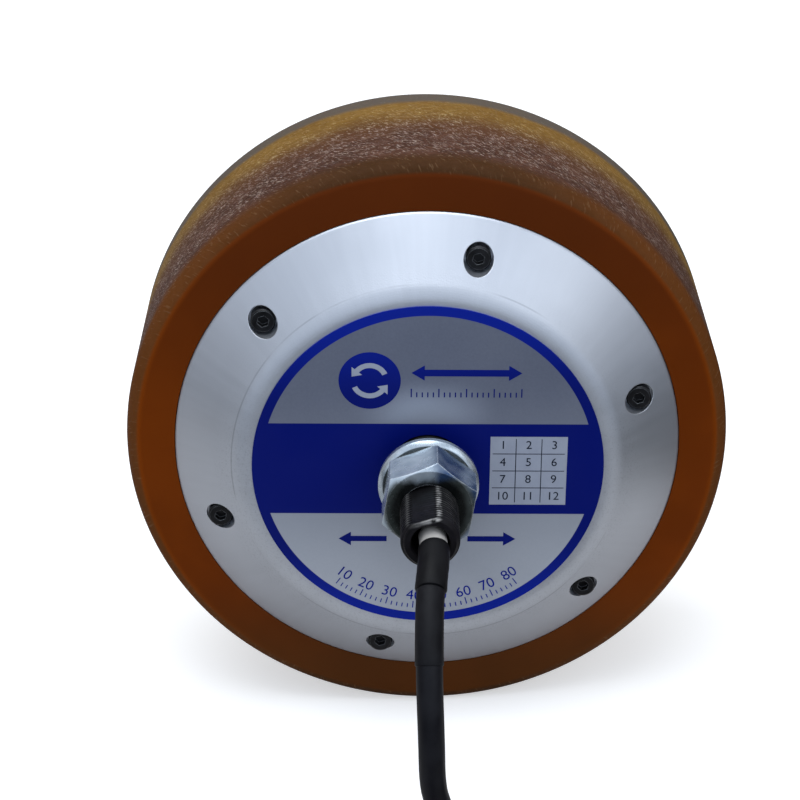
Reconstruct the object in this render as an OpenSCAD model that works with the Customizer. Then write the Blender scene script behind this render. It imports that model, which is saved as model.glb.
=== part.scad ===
// Hub servo drive wheel: a polyurethane tyre on a shell that turns round a fixed, hollow axle.
// The axle lies along Y, its free end towards -Y, and the origin is on it at the nut's front face.

/* [Tyre] */
// Thickness of the polyurethane on the rim shell
tyre_t = 13.96; // [11.5:0.1:21]
// Width of the tyre
tyre_w = 62; // [60:1:72]
// Rounding of the tread's two edges
tyre_shoulder = 4.5; // [1:0.5:8]
// How far the tyre's front face lies behind the front cover's edge
tyre_setback = 0.5; // [0.2:0.1:1.5]
// Width of each ring that keys the tyre to the rim
key_ring_w = 5; // [3:0.5:7]
// Height of each ring that keys the tyre to the rim
key_ring_h = 1.2; // [0.5:0.1:2]

/* [Rim] */
// Thickness of the rim shell round the yoke
rim_t = 11.5; // [10.5:0.1:12]
// Length of the rim's front lip, which stops the yoke and takes the cover screws
rim_lip_len = 9.5; // [9:0.5:12]
// How far the rim's front lip reaches inwards from the yoke's outside
rim_lip_reach = 4.5; // [3:0.5:5.5]

/* [Covers] */
// How far the front cover's flat face stands out of its edge
front_rise = 12.6; // [10:0.2:15]
// How far the rear cover's flat face stands out of its edge
rear_rise = 5; // [3:0.2:7]
// Width of each cover's cone, from its edge inwards to its corner
cone_w = 18.8; // [16:0.2:22]
// Rounding between the cone and the flat face
cover_round = 9; // [4:0.5:14]
// Thickness of a cover's flat wall
cover_wall = 4; // [3:0.25:5]
// Depth of a cover's edge, down to its seat on the rim
cover_edge = 7; // [6.5:0.25:8]
// Gap between a cover's edge and the tyre round it
cover_gap = 0.2; // [0.1:0.05:0.5]
// Length of the ring that centres a cover in the rim
spigot_len = 3; // [1.5:0.5:4]
// Thickness of the ring that centres a cover in the rim
spigot_t = 3.5; // [2.5:0.5:5]
// Thickness of the ribs inside a cover
rib_t = 3; // [2:0.5:5]
// Height of the ribs inside a cover
rib_h = 6; // [3:0.5:8]
// Number of ribs inside a cover
rib_count = 6; // [4:1:12]

/* [Cover screws] */
// Screws in each cover
screw_count = 6; // [4:1:8]
// Distance of the front screws from the cover's edge
front_screw_inset = 9.85; // [8.5:0.05:11]
// Distance of the rear screws from the cover's edge
rear_screw_inset = 5.85; // [5.2:0.05:6.5]
// Angle of the first screw, anticlockwise from +X seen from the front
screw_angle = 75.3; // [0:0.1:90]
// Thread diameter of the screws
screw_d = 4; // [3.5:0.5:4]
// Length of the screws under the head
screw_len = 16; // [14:1:17]
// Thickness of the front cover under a screw's head
front_land = 9; // [8.5:0.25:9.5]
// Thickness of the rear cover under a screw's head
rear_land = 4; // [3.5:0.25:5]
// Diameter of the recess for a screw's head
recess_d = 8.3; // [7.2:0.1:9]

/* [Axle] */
// Diameter of the axle's thread
thread_d = 16; // [15:0.5:17]
// Length of thread in front of the nut
thread_free = 19; // [12:1:30]
// Distance from the axle's centre to its flat
flat_h = 6.6; // [6.2:0.1:7.2]
// Tilt of the flat's normal, anticlockwise from +Z seen from the front
flat_tilt = 15; // [-90:1:90]
// Diameter of the bore for the lead
bore_d = 10.4; // [9:0.2:11]
// Chamfer at the axle's end
end_chamfer = 1; // [0.4:0.1:1.5]
// Diameter of the collar that the washer clamps against, which is the front bearing's seat too
collar_d = 20; // [19:0.5:21]
// How far the collar stands out of the label
collar_out = 8.5; // [5:0.5:14]
// Diameter of the axle where the stator hub sits
seat_d = 28; // [26:1:30]
// Width of the window that lets the wires into the bore
window_w = 10; // [9.8:0.1:10.4]
// Length of the window along the axle
window_len = 8; // [7:0.5:9]

/* [Nut and washer] */
// Width of the nut across its flats
nut_af = 24; // [22:0.5:27]
// Height of the nut
nut_h = 13; // [10:0.5:16]
// Angle of one of the nut's corners, anticlockwise from +X seen from the front
nut_angle = 78.7; // [60:0.1:120]
// Diameter of the washer
washer_d = 28; // [27:0.5:34]
// Thickness of the washer
washer_t = 3; // [2:0.25:4]

/* [Label] */
// How far the label's edge lies inside the cover's corner
label_margin = 3.6; // [3:0.1:6]
// Thickness of the label
label_t = 0.4; // [0.2:0.1:0.8]

/* [Motor] */
// Diameter of the stator
stator_d = 103; // [102:0.5:103]
// Room behind the stack for the coils' ends and the encoder
rear_space = 8.5; // [8:0.25:10]
// Number of slots in the stator
slot_count = 27; // [24:3:27]
// Width of a tooth
tooth_w = 5; // [4.5:0.1:5]
// Width of a slot's opening
slot_open = 2.2; // [1.5:0.1:3]
// Thickness of the tooth's shoe at the air gap
shoe_t = 1.7; // [1.2:0.1:2]
// Depth of the ring behind the teeth
back_iron = 5; // [4:0.25:5]
// Length of the teeth
tooth_len = 12.5; // [11:0.5:13]
// Air gap between the stator and the magnets
air_gap = 0.7; // [0.5:0.1:1]
// Thickness of the magnets
magnet_t = 3; // [2.5:0.25:3.25]
// Number of magnets
magnet_count = 30; // [28:2:32]
// Thickness of the steel yoke behind the magnets
yoke_t = 5.3; // [4.5:0.1:5.5]
// How far the yoke reaches past the stack at each end
yoke_over = 3; // [1.5:0.25:3]
// Thickness of the insulating plates on the stack's ends
insulator_t = 1.2; // [0.8:0.1:1.6]
// Space between neighbouring coils at the bottom of their slot
coil_space = 0.7; // [0.4:0.1:1.2]
// How far a coil's end turns stand out of the insulator
coil_end = 3.6; // [2.5:0.1:4]

/* [Bearings] */
// Outside diameter of the front bearing
front_bearing_d = 42; // [41:0.5:44]
// Width of the front bearing
front_bearing_w = 12; // [11:0.5:12]
// Ball diameter of the front bearing
front_ball_d = 6.35; // [5.5:0.05:6.5]
// Number of balls in the front bearing
front_balls = 9; // [7:1:9]
// Bore of the rear bearing
rear_journal_d = 17; // [16:0.5:18]
// Outside diameter of the rear bearing
rear_bearing_d = 35; // [34:0.5:37]
// Width of the rear bearing
rear_bearing_w = 10; // [9:0.5:10]
// Ball diameter of the rear bearing
rear_ball_d = 4.76; // [4:0.05:5]
// Number of balls in the rear bearing
rear_balls = 10; // [8:1:11]
// Outside diameter of the shaft seal
seal_d = 32; // [29:0.5:34]
// Width of the shaft seal
seal_w = 4; // [3:0.25:5]

/* [Encoder] */
// Thickness of the encoder's board
board_t = 1.6; // [1:0.1:2]
// Outside diameter of the encoder's board
board_d = 60; // [56:1:61]
// Thickness of the encoder's magnet ring, outwards from the bearing's boss
encoder_ring_t = 4; // [2:0.25:5]
// Gap between the sensors and the magnet ring
encoder_gap = 0.6; // [0.5:0.1:1]

/* [Lead] */
// Diameter of the lead's jacket
lead_d = 7; // [6:0.25:7]
// Diameter of the pale liner at the axle's mouth
liner_d = 7.6; // [7.3:0.1:8]
// Diameter of the short boot on the lead
boot_d = 8.6; // [7.8:0.1:9]
// Diameter of the long sleeve on the lead
sleeve_d = 7.6; // [7.3:0.1:8]
// Diameter of one of the wires inside
wire_d = 2.2; // [1.6:0.1:2.2]
// Diameter of the plug on the lead's far end
plug_d = 14; // [12:0.5:14]
// Length of the plug
plug_len = 40; // [34:1:50]

/* [Fits] */
// Gap between pieces that are pressed, screwed or bonded together
fit = 0.02; // [0.01:0.01:0.05]
// Gap between pieces that run against each other
run = 0.05; // [0.03:0.01:0.08]

/* [Hidden] */
$fn = 96;
small_fn = 24;

// Places along the axle, front to back
end_y = -thread_free;
nut_back_y = nut_h;
collar_y = nut_back_y + washer_t;
label_y = collar_y + collar_out;
front_face_y = label_y + label_t;
front_edge_y = front_face_y + front_rise;
rim_front_y = front_edge_y + cover_edge;
rim_len = tyre_w + 2 * tyre_setback - 2 * cover_edge;
rim_back_y = rim_front_y + rim_len;
rear_edge_y = rim_back_y + cover_edge;
rear_face_y = rear_edge_y + rear_rise;
tyre_front_y = front_edge_y + tyre_setback;
tyre_back_y = tyre_front_y + tyre_w;
yoke_front_y = rim_front_y + rim_lip_len;
stack_front_y = yoke_front_y + yoke_over;
stack_len = rim_len - rim_lip_len - yoke_over - rear_space;
stack_back_y = stack_front_y + stack_len;
stack_mid_y = stack_front_y + stack_len / 2;
yoke_back_y = stack_back_y + yoke_over;

// Radii, from the stator outwards
stator_r = stator_d / 2;
magnet_in_r = stator_r + air_gap;
magnet_out_r = magnet_in_r + magnet_t;
yoke_in_r = magnet_out_r + fit;
yoke_r = yoke_in_r + yoke_t;
yoke_seat_r = yoke_r + fit;
rim_r = yoke_seat_r + rim_t;
tyre_r = rim_r + tyre_t;
cover_r = rim_r - cover_gap;
cover_corner_r = cover_r - cone_w;
label_r = cover_corner_r - label_margin;
front_screw_r = cover_r - front_screw_inset;
rear_screw_r = cover_r - rear_screw_inset;
lip_r = yoke_seat_r - rim_lip_reach;
front_spigot_r = lip_r - fit;
rear_spigot_r = yoke_seat_r - fit;
slot_floor_r = stator_r - tooth_len;
hub_r = slot_floor_r - back_iron;
seat_r = seat_d / 2;
collar_r = collar_d / 2;
thread_r = thread_d / 2;
bore_r = bore_d / 2;

// The thread's crests are left out, so nut and axle meet at the thread's middle
thread_depth = 0.5;
engaged_r = thread_r - thread_depth;
nut_chamfer = 1.1;
washer_play = 0.25;
washer_bevel = 1;
washer_bevel_w = 2.1;

// Covers
seal_wall = 2.5;
shaft_play = 0.6;
boss_wall = 5;
rear_boss_wall = 4;
edge_break = 0.4;
seal_y = front_face_y + seal_wall;
front_bearing_y = seal_y + seal_w;
front_bearing_back_y = front_bearing_y + front_bearing_w;
front_boss_r = front_bearing_d / 2 + boss_wall;
preload_t = 0.5;
preload_play = 0.1;
rear_pocket_y = rear_face_y - cover_wall - 1;
rear_bearing_back_y = rear_pocket_y - preload_t - preload_play;
rear_bearing_y = rear_bearing_back_y - rear_bearing_w;
rear_boss_r = rear_bearing_d / 2 + rear_boss_wall;
rear_boss_y = rear_bearing_y - 0.5;

// Screws
head_h = screw_d;
head_r = 0.875 * screw_d;
socket_depth = screw_d / 2;
socket_r = 0.75 * screw_d / sqrt(3);
clear_r = screw_d / 2 + 0.25;
recess_r = recess_d / 2;
tap_over = 0.5;
front_seat_y = rim_front_y - front_land;
rear_seat_y = rim_back_y + rear_land;

// Stator and encoder
slot_pitch = 360 / slot_count;
shoe_r = stator_r - shoe_t;
top_angle = 90;
hub_wall = 4.5;
hub_rim = 3;
spoke_w = 5;
spoke_count = 6;
hub_key_w = 5;
hub_key_len = stack_len - 8;
hub_key_depth = 2.5;
coil_gap = 0.1;
coil_floor = 1;
coil_top = 0.8;
coil_in_r = slot_floor_r + coil_floor;
coil_out_r = shoe_r - coil_top;
coil_half_w = coil_in_r * sin(slot_pitch / 2) - coil_space / 2;
lip_w = 7;
lip_t = 1;
lip_under = 0.4;
standoff_h = 1.2;
standoff_r = 2.4;
standoff_inset = 4.5;
standoff_at_r = board_d / 2 - standoff_inset;
board_posts = 3;
post_pitch = 360 / board_posts;
board_screw_reach = 4;
board_y = stack_back_y + standoff_h;
board_back_y = board_y + board_t;
board_in_r = seat_r + 1;
chip_h = 1.1;
chip_side = 5;
encoder_ring_y = board_back_y + chip_h + encoder_gap;
encoder_ring_in_r = rear_boss_r + fit;
encoder_ring_w = 4;
encoder_mid_r = encoder_ring_in_r + encoder_ring_t / 2;
board_screw_r = 1;
board_head_r = 1.9;
board_head_h = 1.3;

// The axle's steps behind the collar
seat_y = front_bearing_back_y;
rear_step_r = rear_journal_d / 2 + 2.5;
seat_back_y = board_back_y + 0.4;
axle_back_y = rear_bearing_back_y;
window_y = seat_y + 2.2;
window_back_y = window_y + window_len;
wire_y = (window_y + window_back_y) / 2 + 1.3;
bore_back_y = window_back_y + 1;
flat_back_y = nut_back_y + washer_t / 2;
inner_lead_back_y = window_y - 0.2;
inner_lead_front_y = -6;
potting_len = 8;
potting_front_y = -4;

// The lead's route, in points chosen by hand, on the surface that the tyre stands on
floor_z = -tyre_r;
lead_r = lead_d / 2;
lead_sides = 8;
coil_x = 28;
coil_y = -86.5;
coil_first_r = 31.5;
coil_inner_r = 28;
coil_outer_r = 50;
coil_last_r = 49;
hanging = [
    [0, -6, 0], [0, -9, 0], [0.6, -15, -0.3], [0.9, -20, -1.1], [0.69, -24.5, -2.4],
    [0.14, -29, -4.2], [-0.32, -33, -6.4], [-0.8, -38, -9.9], [-1.12, -43, -14.8],
    [-1.35, -47.5, -20.4], [-1.45, -51, -26.6], [-1.46, -53.5, -33.6], [-1.48, -54.8, -41.2],
    [-1.49, -55, -49.6]
];
landing = [
    [-0.8, -55, -55.8], [1.5, -55, -62.8], [5.9, -55, -69.3], [12.2, -55, -74.8],
    [19.7, -55, -78.3], [28, -55, -79.6]
];
tail = [
    [28, -135.5, -82.5], [20, -135.5, -82], [12, -135.5, -80.75], [4, -135.5, -79.5],
    [-2, -135.5, -79], [-4, -135.5, -79]
];
route = concat(hanging, landing);
liner_from = 2;
liner_to = 3;
boot_to = 6;
sleeve_to = 9;
plug_x = -4;
plug_y = -135.5;

// Points of an arc round a centre, from one angle to another
function arc(c, r, a0, a1, n = 8) = [
    for (i = [0:n]) c + r * [cos(a0 + (a1 - a0) * i / n), sin(a0 + (a1 - a0) * i / n)]
];

// Angle of a cover's cone, from how far it rises between its edge and its corner
function cone_angle(rise) = atan(rise / (cover_r - edge_break - cover_corner_r));

// The cover's rounded shoulder, as radius and height under the flat face
function shoulder(rise) = let (s = cone_angle(rise), r0 = cover_corner_r - cover_round * tan(s / 2))
    arc([r0, cover_round], cover_round, -90, -90 + s);

// Turns a profile of radius and place along the axle round the axle
module turned() rotate([-90, 0, 0]) rotate_extrude() children();

// Puts a piece made on +X at an angle round the axle, anticlockwise seen from the front
module at_angle(a) rotate([0, -a, 0]) children();

// A flat shape, thickened along the axle
module plate(y0, y1) translate([0, y0, 0]) rotate([-90, 0, 0]) linear_extrude(y1 - y0) children();

// A rod along the axle's direction at a radius and an angle
module rod(r, at_r, a, y0, y1) {
    at_angle(a) translate([at_r, y0, 0]) rotate([-90, 0, 0]) cylinder(r = r, h = y1 - y0);
}

module ring_section(r0, r1, y0, y1) translate([r0, y0]) square([r1 - r0, y1 - y0]);

module ring(r0, r1, y0, y1) turned() ring_section(r0, r1, y0, y1);

// Tube along a list of points: a ring of corners square to the route at each point
function unit(v) = v / norm(v);
function heading(p, i) = unit(p[min(i + 1, len(p) - 1)] - p[max(i - 1, 0)]);
function side(d, up) = unit(cross(d, up));
function tube_ring(p, i, r, n, up) = let (d = heading(p, i), s = side(d, up), t = cross(s, d))
    [for (k = [0:n - 1]) p[i] + r * (cos(360 * (k + 0.5) / n) * s + sin(360 * (k + 0.5) / n) * t)];

module tube(p, r, up = [1, 0, 0], n = lead_sides) {
    last = (len(p) - 1) * n;
    corners = [for (i = [0:len(p) - 1]) each tube_ring(p, i, r, n, up)];
    walls = [
        for (i = [0:len(p) - 2], k = [0:n - 1])
            [i * n + k, i * n + (k + 1) % n, (i + 1) * n + (k + 1) % n, (i + 1) * n + k]
    ];
    caps = [[for (k = [n - 1:-1:0]) k], [for (k = [0:n - 1]) last + k]];
    polyhedron(points = corners, faces = concat(walls, caps), convexity = 6);
}

// Sleeve on the lead between two points of its route, out along the wall and back inside
module sleeve_on_lead(from, to, r) {
    n = lead_sides;
    outside = [for (i = [from:to]) each tube_ring(route, i, r, n, [1, 0, 0])];
    inside = [for (i = [to:-1:from]) each tube_ring(route, i, lead_r + fit, n, [1, 0, 0])];
    rows = 2 * (to - from + 1);
    walls = [
        for (i = [0:rows - 1], k = [0:n - 1])
            let (j = (i + 1) % rows, m = (k + 1) % n) [i * n + k, i * n + m, j * n + m, j * n + k]
    ];
    polyhedron(points = concat(outside, inside), faces = walls, convexity = 6);
}

// Tyre and rim

// Middles of the rings that key the tyre to the rim
function key_rings() = [for (k = [1:3]) rim_front_y + rim_len * k / 4];

module key_ring_sections(grow = 0) {
    for (y = key_rings())
        ring_section(rim_r - key_ring_h - grow, rim_r + 1, y - key_ring_w / 2 - grow,
            y + key_ring_w / 2 + grow);
}

module tyre() {
    color("saddlebrown") turned() {
        difference() {
            polygon(concat(
                [[rim_r, tyre_front_y]],
                arc([tyre_r - tyre_shoulder, tyre_front_y + tyre_shoulder], tyre_shoulder, -90, 0),
                arc([tyre_r - tyre_shoulder, tyre_back_y - tyre_shoulder], tyre_shoulder, 0, 90),
                [[rim_r, tyre_back_y]]
            ));
            ring_section(0, rim_r + fit, rim_front_y, rim_back_y);
        }
        intersection() {
            key_ring_sections();
            ring_section(rim_r - key_ring_h, rim_r + 1, rim_front_y, rim_back_y);
        }
    }
}

module rim_shell() {
    color("lightgray") difference() {
        turned() difference() {
            ring_section(lip_r, rim_r, rim_front_y, rim_back_y);
            ring_section(0, yoke_seat_r, yoke_front_y, rim_back_y + 1);
            key_ring_sections(fit);
        }
        screw_circle(front_screw_r, rim_front_y - 1, front_seat_y + screw_len + tap_over);
        screw_circle(rear_screw_r, rear_seat_y - screw_len - tap_over, rim_back_y + 1);
    }
}

// Tapped holes of one cover's screws
module screw_circle(at_r, y0, y1) {
    for (k = [0:screw_count - 1])
        rod(screw_d / 2 + fit, at_r, screw_angle + k * 360 / screw_count, y0, y1);
}

module rotor_yoke() {
    color("dimgray") ring(yoke_in_r, yoke_r, yoke_front_y, yoke_back_y);
}

module rotor_magnets() {
    share = 0.93;
    half = share * 180 / magnet_count;
    reach = 2 * magnet_out_r;
    overlap = 1;
    color("silver") plate(stack_front_y - overlap, stack_back_y + overlap)
        for (k = [0:magnet_count - 1]) rotate(k * 360 / magnet_count) intersection() {
            difference() {
                circle(r = magnet_out_r);
                circle(r = magnet_in_r);
            }
            polygon([[0, 0], reach * [cos(half), -sin(half)], reach * [cos(half), sin(half)]]);
        }
}

// Covers

// The solid of a cover outside its cavity: the flat face at height 0, its edge at the rise
module cover_outside(rise, hole) {
    polygon(concat(
        [[hole, 0]], shoulder(rise),
        [[cover_r - edge_break, rise], [cover_r, rise + edge_break]],
        [[cover_r, rise + cover_edge], [hole, rise + cover_edge]]
    ));
}

// The cavity behind a cover's wall, inside its centring ring
module cover_cavity(rise, from_r, spigot_r) {
    s = cone_angle(rise);
    inner_r = spigot_r - spigot_t;
    corner = min(cover_corner_r - cover_wall * tan(s / 2), inner_r);
    far = rise + cover_edge + spigot_len + 1;
    polygon([
        [from_r, cover_wall], [corner, cover_wall],
        [inner_r, cover_wall + (inner_r - corner) * tan(s)], [inner_r, far], [from_r, far]
    ]);
}

module cover_ribs(from_r, to_r) {
    into = 1;
    for (k = [0:rib_count - 1])
        at_angle(screw_angle + (k + 0.5) * 360 / rib_count)
            translate([from_r - into, cover_wall - into, -rib_t / 2])
                cube([to_r - from_r + 2 * into, rib_h + into, rib_t]);
}

// Recesses, seats and clearance holes for a cover's screws
module screw_seats(at_r, seat) {
    over = 30;
    for (k = [0:screw_count - 1]) {
        a = screw_angle + k * 360 / screw_count;
        rod(recess_r, at_r, a, seat - over, seat);
        rod(clear_r, at_r, a, seat - 1, seat + over);
    }
}

module front_cover() {
    hole = collar_r + shaft_play;
    spigot_in_r = front_spigot_r - spigot_t;
    color("gainsboro") translate([0, front_face_y, 0]) difference() {
        union() {
            turned() {
                difference() {
                    cover_outside(front_rise, hole);
                    cover_cavity(front_rise, front_boss_r, front_spigot_r);
                    ring_section(0, seal_d / 2 + fit, seal_wall, front_rise + cover_edge + 1);
                    ring_section(0, front_bearing_d / 2 + fit, front_bearing_y - front_face_y,
                        front_rise + cover_edge + 1);
                    ring_section(0, front_boss_r + fit, front_bearing_back_y - front_face_y,
                        front_rise + cover_edge + 1);
                }
                ring_section(spigot_in_r, front_spigot_r, front_rise + cover_edge - 1,
                    front_rise + cover_edge + spigot_len);
            }
            cover_ribs(front_boss_r, spigot_in_r);
        }
        screw_seats(front_screw_r, front_seat_y - front_face_y);
    }
}

// Made face forward like the front cover, then turned to face backwards
module rear_cover() {
    spigot_in_r = rear_spigot_r - spigot_t;
    depth = rear_face_y - rear_boss_y;
    pocket = rear_face_y - rear_pocket_y;
    color("gainsboro") translate([0, rear_face_y, 0]) mirror([0, 1, 0]) difference() {
        union() {
            turned() {
                difference() {
                    union() {
                        cover_outside(rear_rise, 0);
                        ring_section(0, rear_boss_r, cover_wall, depth);
                    }
                    difference() {
                        cover_cavity(rear_rise, rear_boss_r, rear_spigot_r);
                        ring_section(0, rear_boss_r, 0, depth);
                    }
                    ring_section(0, rear_bearing_d / 2 + fit, pocket, depth + 1);
                }
                ring_section(spigot_in_r, rear_spigot_r, rear_rise + cover_edge - 1,
                    rear_rise + cover_edge + spigot_len);
            }
            cover_ribs(rear_boss_r, spigot_in_r);
        }
        screw_seats(rear_screw_r, rear_face_y - rear_seat_y);
    }
}

// Socket head screw along the axle: its head's seat at the origin, its shank towards +Y
module cap_screw() {
    difference() {
        union() {
            turned() polygon([
                [0, -head_h], [head_r - edge_break, -head_h], [head_r, edge_break - head_h],
                [head_r, 0], [0, 0]
            ]);
            translate([0, -1, 0]) rotate([-90, 0, 0]) cylinder(d = screw_d, h = screw_len + 1);
        }
        translate([0, -head_h - 1, 0]) rotate([-90, 0, 0])
            cylinder(r = socket_r, h = socket_depth + 1, $fn = 6);
    }
}

module front_cover_screws() {
    color("black") for (k = [0:screw_count - 1])
        at_angle(screw_angle + k * 360 / screw_count)
            translate([front_screw_r, front_seat_y, 0]) cap_screw();
}

module rear_cover_screws() {
    color("black") for (k = [0:screw_count - 1])
        at_angle(screw_angle + k * 360 / screw_count)
            translate([rear_screw_r, rear_seat_y, 0]) mirror([0, 1, 0]) cap_screw();
}

module label_plate() {
    color("royalblue") ring(collar_r + shaft_play, label_r, label_y, front_face_y);
}

// Bearings and seal

module shaft_seal() {
    lip_t = 1;
    mid_y = seal_y + seal_w / 2;
    color("black") turned() polygon([
        [seal_d / 2, seal_y + fit], [seal_d / 2, front_bearing_y - fit],
        [seal_d / 2 - lip_t, front_bearing_y - fit], [seal_d / 2 - lip_t, seal_y + lip_t],
        [collar_r + 2 * lip_t, seal_y + lip_t], [collar_r + 2 * lip_t, mid_y + lip_t],
        [collar_r + run, mid_y], [collar_r + lip_t, seal_y + fit]
    ]);
}

// Where a bearing's balls run, and how high the shoulders beside them stand
function ball_path(bore, outside) = (bore + outside) / 4;
shoulder_share = 0.45;

module outer_race(bore, outside, w, ball, y) {
    path = ball_path(bore, outside);
    color("silver") turned() difference() {
        ring_section(path + shoulder_share * ball / 2, outside / 2, y, y + w);
        translate([path, y + w / 2]) circle(r = ball / 2 + run, $fn = 64);
    }
}

module inner_race(bore, outside, w, ball, y) {
    path = ball_path(bore, outside);
    color("silver") turned() difference() {
        ring_section(bore / 2 + fit, path - shoulder_share * ball / 2, y, y + w);
        translate([path, y + w / 2]) circle(r = ball / 2 + run, $fn = 64);
    }
}

module balls(bore, outside, w, ball, count, y) {
    color("lightsteelblue") for (k = [0:count - 1])
        at_angle(top_angle + k * 360 / count)
            translate([ball_path(bore, outside), y + w / 2, 0]) sphere(d = ball, $fn = small_fn);
}

module cage(bore, outside, w, ball, count, y) {
    path = ball_path(bore, outside);
    half_t = 0.13 * ball;
    half_w = 0.6 * ball;
    color("peru") difference() {
        ring(path - half_t, path + half_t, y + w / 2 - half_w, y + w / 2 + half_w);
        for (k = [0:count - 1])
            at_angle(top_angle + k * 360 / count)
                translate([path, y + w / 2, 0]) rotate([0, 90, 0])
                    cylinder(d = ball + 2 * run, h = ball, center = true, $fn = small_fn);
    }
}

module shields(bore, outside, w, ball, y) {
    path = ball_path(bore, outside);
    r0 = path - shoulder_share * ball / 2 + 4 * run;
    r1 = path + shoulder_share * ball / 2 - fit;
    t = 0.5;
    inset = 0.3;
    color("dimgray") {
        ring(r0, r1, y + inset, y + inset + t);
        ring(r0, r1, y + w - inset - t, y + w - inset);
    }
}

module front_bearing_outer_race() {
    outer_race(collar_d, front_bearing_d, front_bearing_w, front_ball_d, front_bearing_y);
}

module front_bearing_inner_race() {
    inner_race(collar_d, front_bearing_d, front_bearing_w, front_ball_d, front_bearing_y);
}

module front_bearing_balls() {
    balls(collar_d, front_bearing_d, front_bearing_w, front_ball_d, front_balls, front_bearing_y);
}

module front_bearing_cage() {
    cage(collar_d, front_bearing_d, front_bearing_w, front_ball_d, front_balls, front_bearing_y);
}

module front_bearing_shields() {
    shields(collar_d, front_bearing_d, front_bearing_w, front_ball_d, front_bearing_y);
}

module rear_bearing_outer_race() {
    outer_race(rear_journal_d, rear_bearing_d, rear_bearing_w, rear_ball_d, rear_bearing_y);
}

module rear_bearing_inner_race() {
    inner_race(rear_journal_d, rear_bearing_d, rear_bearing_w, rear_ball_d, rear_bearing_y);
}

module rear_bearing_balls() {
    balls(rear_journal_d, rear_bearing_d, rear_bearing_w, rear_ball_d, rear_balls,
        rear_bearing_y);
}

module rear_bearing_cage() {
    cage(rear_journal_d, rear_bearing_d, rear_bearing_w, rear_ball_d, rear_balls,
        rear_bearing_y);
}

module rear_bearing_shields() {
    shields(rear_journal_d, rear_bearing_d, rear_bearing_w, rear_ball_d, rear_bearing_y);
}

module preload_washer() {
    ring_w = 3;
    color("silver") ring(rear_bearing_d / 2 - ring_w, rear_bearing_d / 2 - 0.1,
        rear_bearing_back_y + preload_play / 2, rear_bearing_back_y + preload_play / 2 + preload_t);
}

// Axle, nut and washer

module axle() {
    big = 40;
    front_body_y = (front_bearing_back_y + seat_y) / 2;
    color("#26272b") difference() {
        union() {
            turned() polygon([
                [0, end_y], [thread_r - end_chamfer, end_y], [thread_r, end_y + end_chamfer],
                [thread_r, 0], [engaged_r, 0], [engaged_r, nut_back_y], [thread_r, nut_back_y],
                [thread_r, collar_y], [collar_r, collar_y], [collar_r, front_body_y],
                [seat_r, front_body_y], [seat_r, seat_back_y], [rear_step_r, seat_back_y],
                [rear_step_r, rear_bearing_y], [rear_journal_d / 2, rear_bearing_y],
                [rear_journal_d / 2, axle_back_y - 0.5],
                [rear_journal_d / 2 - 0.5, axle_back_y], [0, axle_back_y]
            ]);
        }
        rotate([0, -flat_tilt, 0]) translate([-big / 2, end_y - 1, flat_h])
            cube([big, flat_back_y - end_y + 1, big]);
        translate([0, end_y - 1, 0]) rotate([-90, 0, 0]) cylinder(r = bore_r, h = bore_back_y - end_y + 1);
        translate([-window_w / 2, window_y, 0]) cube([window_w, window_len, big]);
        hub_keyway(0);
    }
}

module hub_keyway(grow) {
    translate([-hub_key_w / 2 - fit, stack_mid_y - hub_key_len / 2 - fit, -seat_r - hub_key_depth - grow])
        cube([hub_key_w + 2 * fit, hub_key_len + 2 * fit, 2 * hub_key_depth + 2 * grow]);
}

module hub_key() {
    color("gray")
        translate([-hub_key_w / 2, stack_mid_y - hub_key_len / 2, fit - seat_r - hub_key_depth])
            cube([hub_key_w, hub_key_len, 2 * hub_key_depth - 2 * fit]);
}

module axle_washer() {
    r = washer_d / 2;
    color("lightgray") turned() polygon([
        [thread_r + washer_play, nut_back_y], [r - washer_bevel_w, nut_back_y],
        [r, nut_back_y + washer_bevel], [r, collar_y], [thread_r + washer_play, collar_y]
    ]);
}

module axle_nut() {
    r = nut_af / sqrt(3);
    face_r = nut_af / 2 - 0.3;
    over = 1;
    slope = nut_chamfer / (r - face_r);
    color("lightgray") intersection() {
        difference() {
            at_angle(nut_angle) rotate([-90, 0, 0]) cylinder(r = r, h = nut_h, $fn = 6);
            translate([0, -1, 0]) rotate([-90, 0, 0]) cylinder(r = engaged_r + fit, h = nut_h + 2);
        }
        turned() polygon([
            [0, 0], [face_r, 0], [r + over, nut_chamfer + over * slope],
            [r + over, nut_h - nut_chamfer - over * slope], [face_r, nut_h], [0, nut_h]
        ]);
    }
}

// Stator

module stator_hub() {
    color("silver") difference() {
        plate(stack_front_y, stack_back_y) {
            difference() {
                circle(r = hub_r - fit);
                circle(r = hub_r - hub_rim);
            }
            difference() {
                union() {
                    circle(r = seat_r + hub_wall);
                    for (k = [0:spoke_count - 1]) rotate(k * 360 / spoke_count)
                        translate([0, -spoke_w / 2]) square([hub_r - 1, spoke_w]);
                }
                circle(r = seat_r + fit);
            }
        }
        hub_keyway(0.3);
        for (k = [1:board_posts])
            rod(board_screw_r + fit, standoff_at_r, post_pitch * k, stack_back_y - board_screw_reach - 1,
                stack_back_y + 1);
    }
}

// Point on a tooth's flank, at a distance along the tooth, seen from the middle of the slot
function flank(r) = let (h = slot_pitch / 2)
    [r * cos(h) + tooth_w / 2 * sin(h), r * sin(h) - tooth_w / 2 * cos(h)];

// One slot, with parallel-sided teeth beside it and their shoes over its mouth
module slot() {
    low = flank(slot_floor_r);
    high = flank(shoe_r);
    neck_r = shoe_r + 0.5;
    polygon([
        low, high, [neck_r, slot_open / 2], [stator_r + 1, slot_open / 2],
        [stator_r + 1, -slot_open / 2], [neck_r, -slot_open / 2], [high.x, -high.y],
        [low.x, -low.y]
    ]);
}

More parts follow.
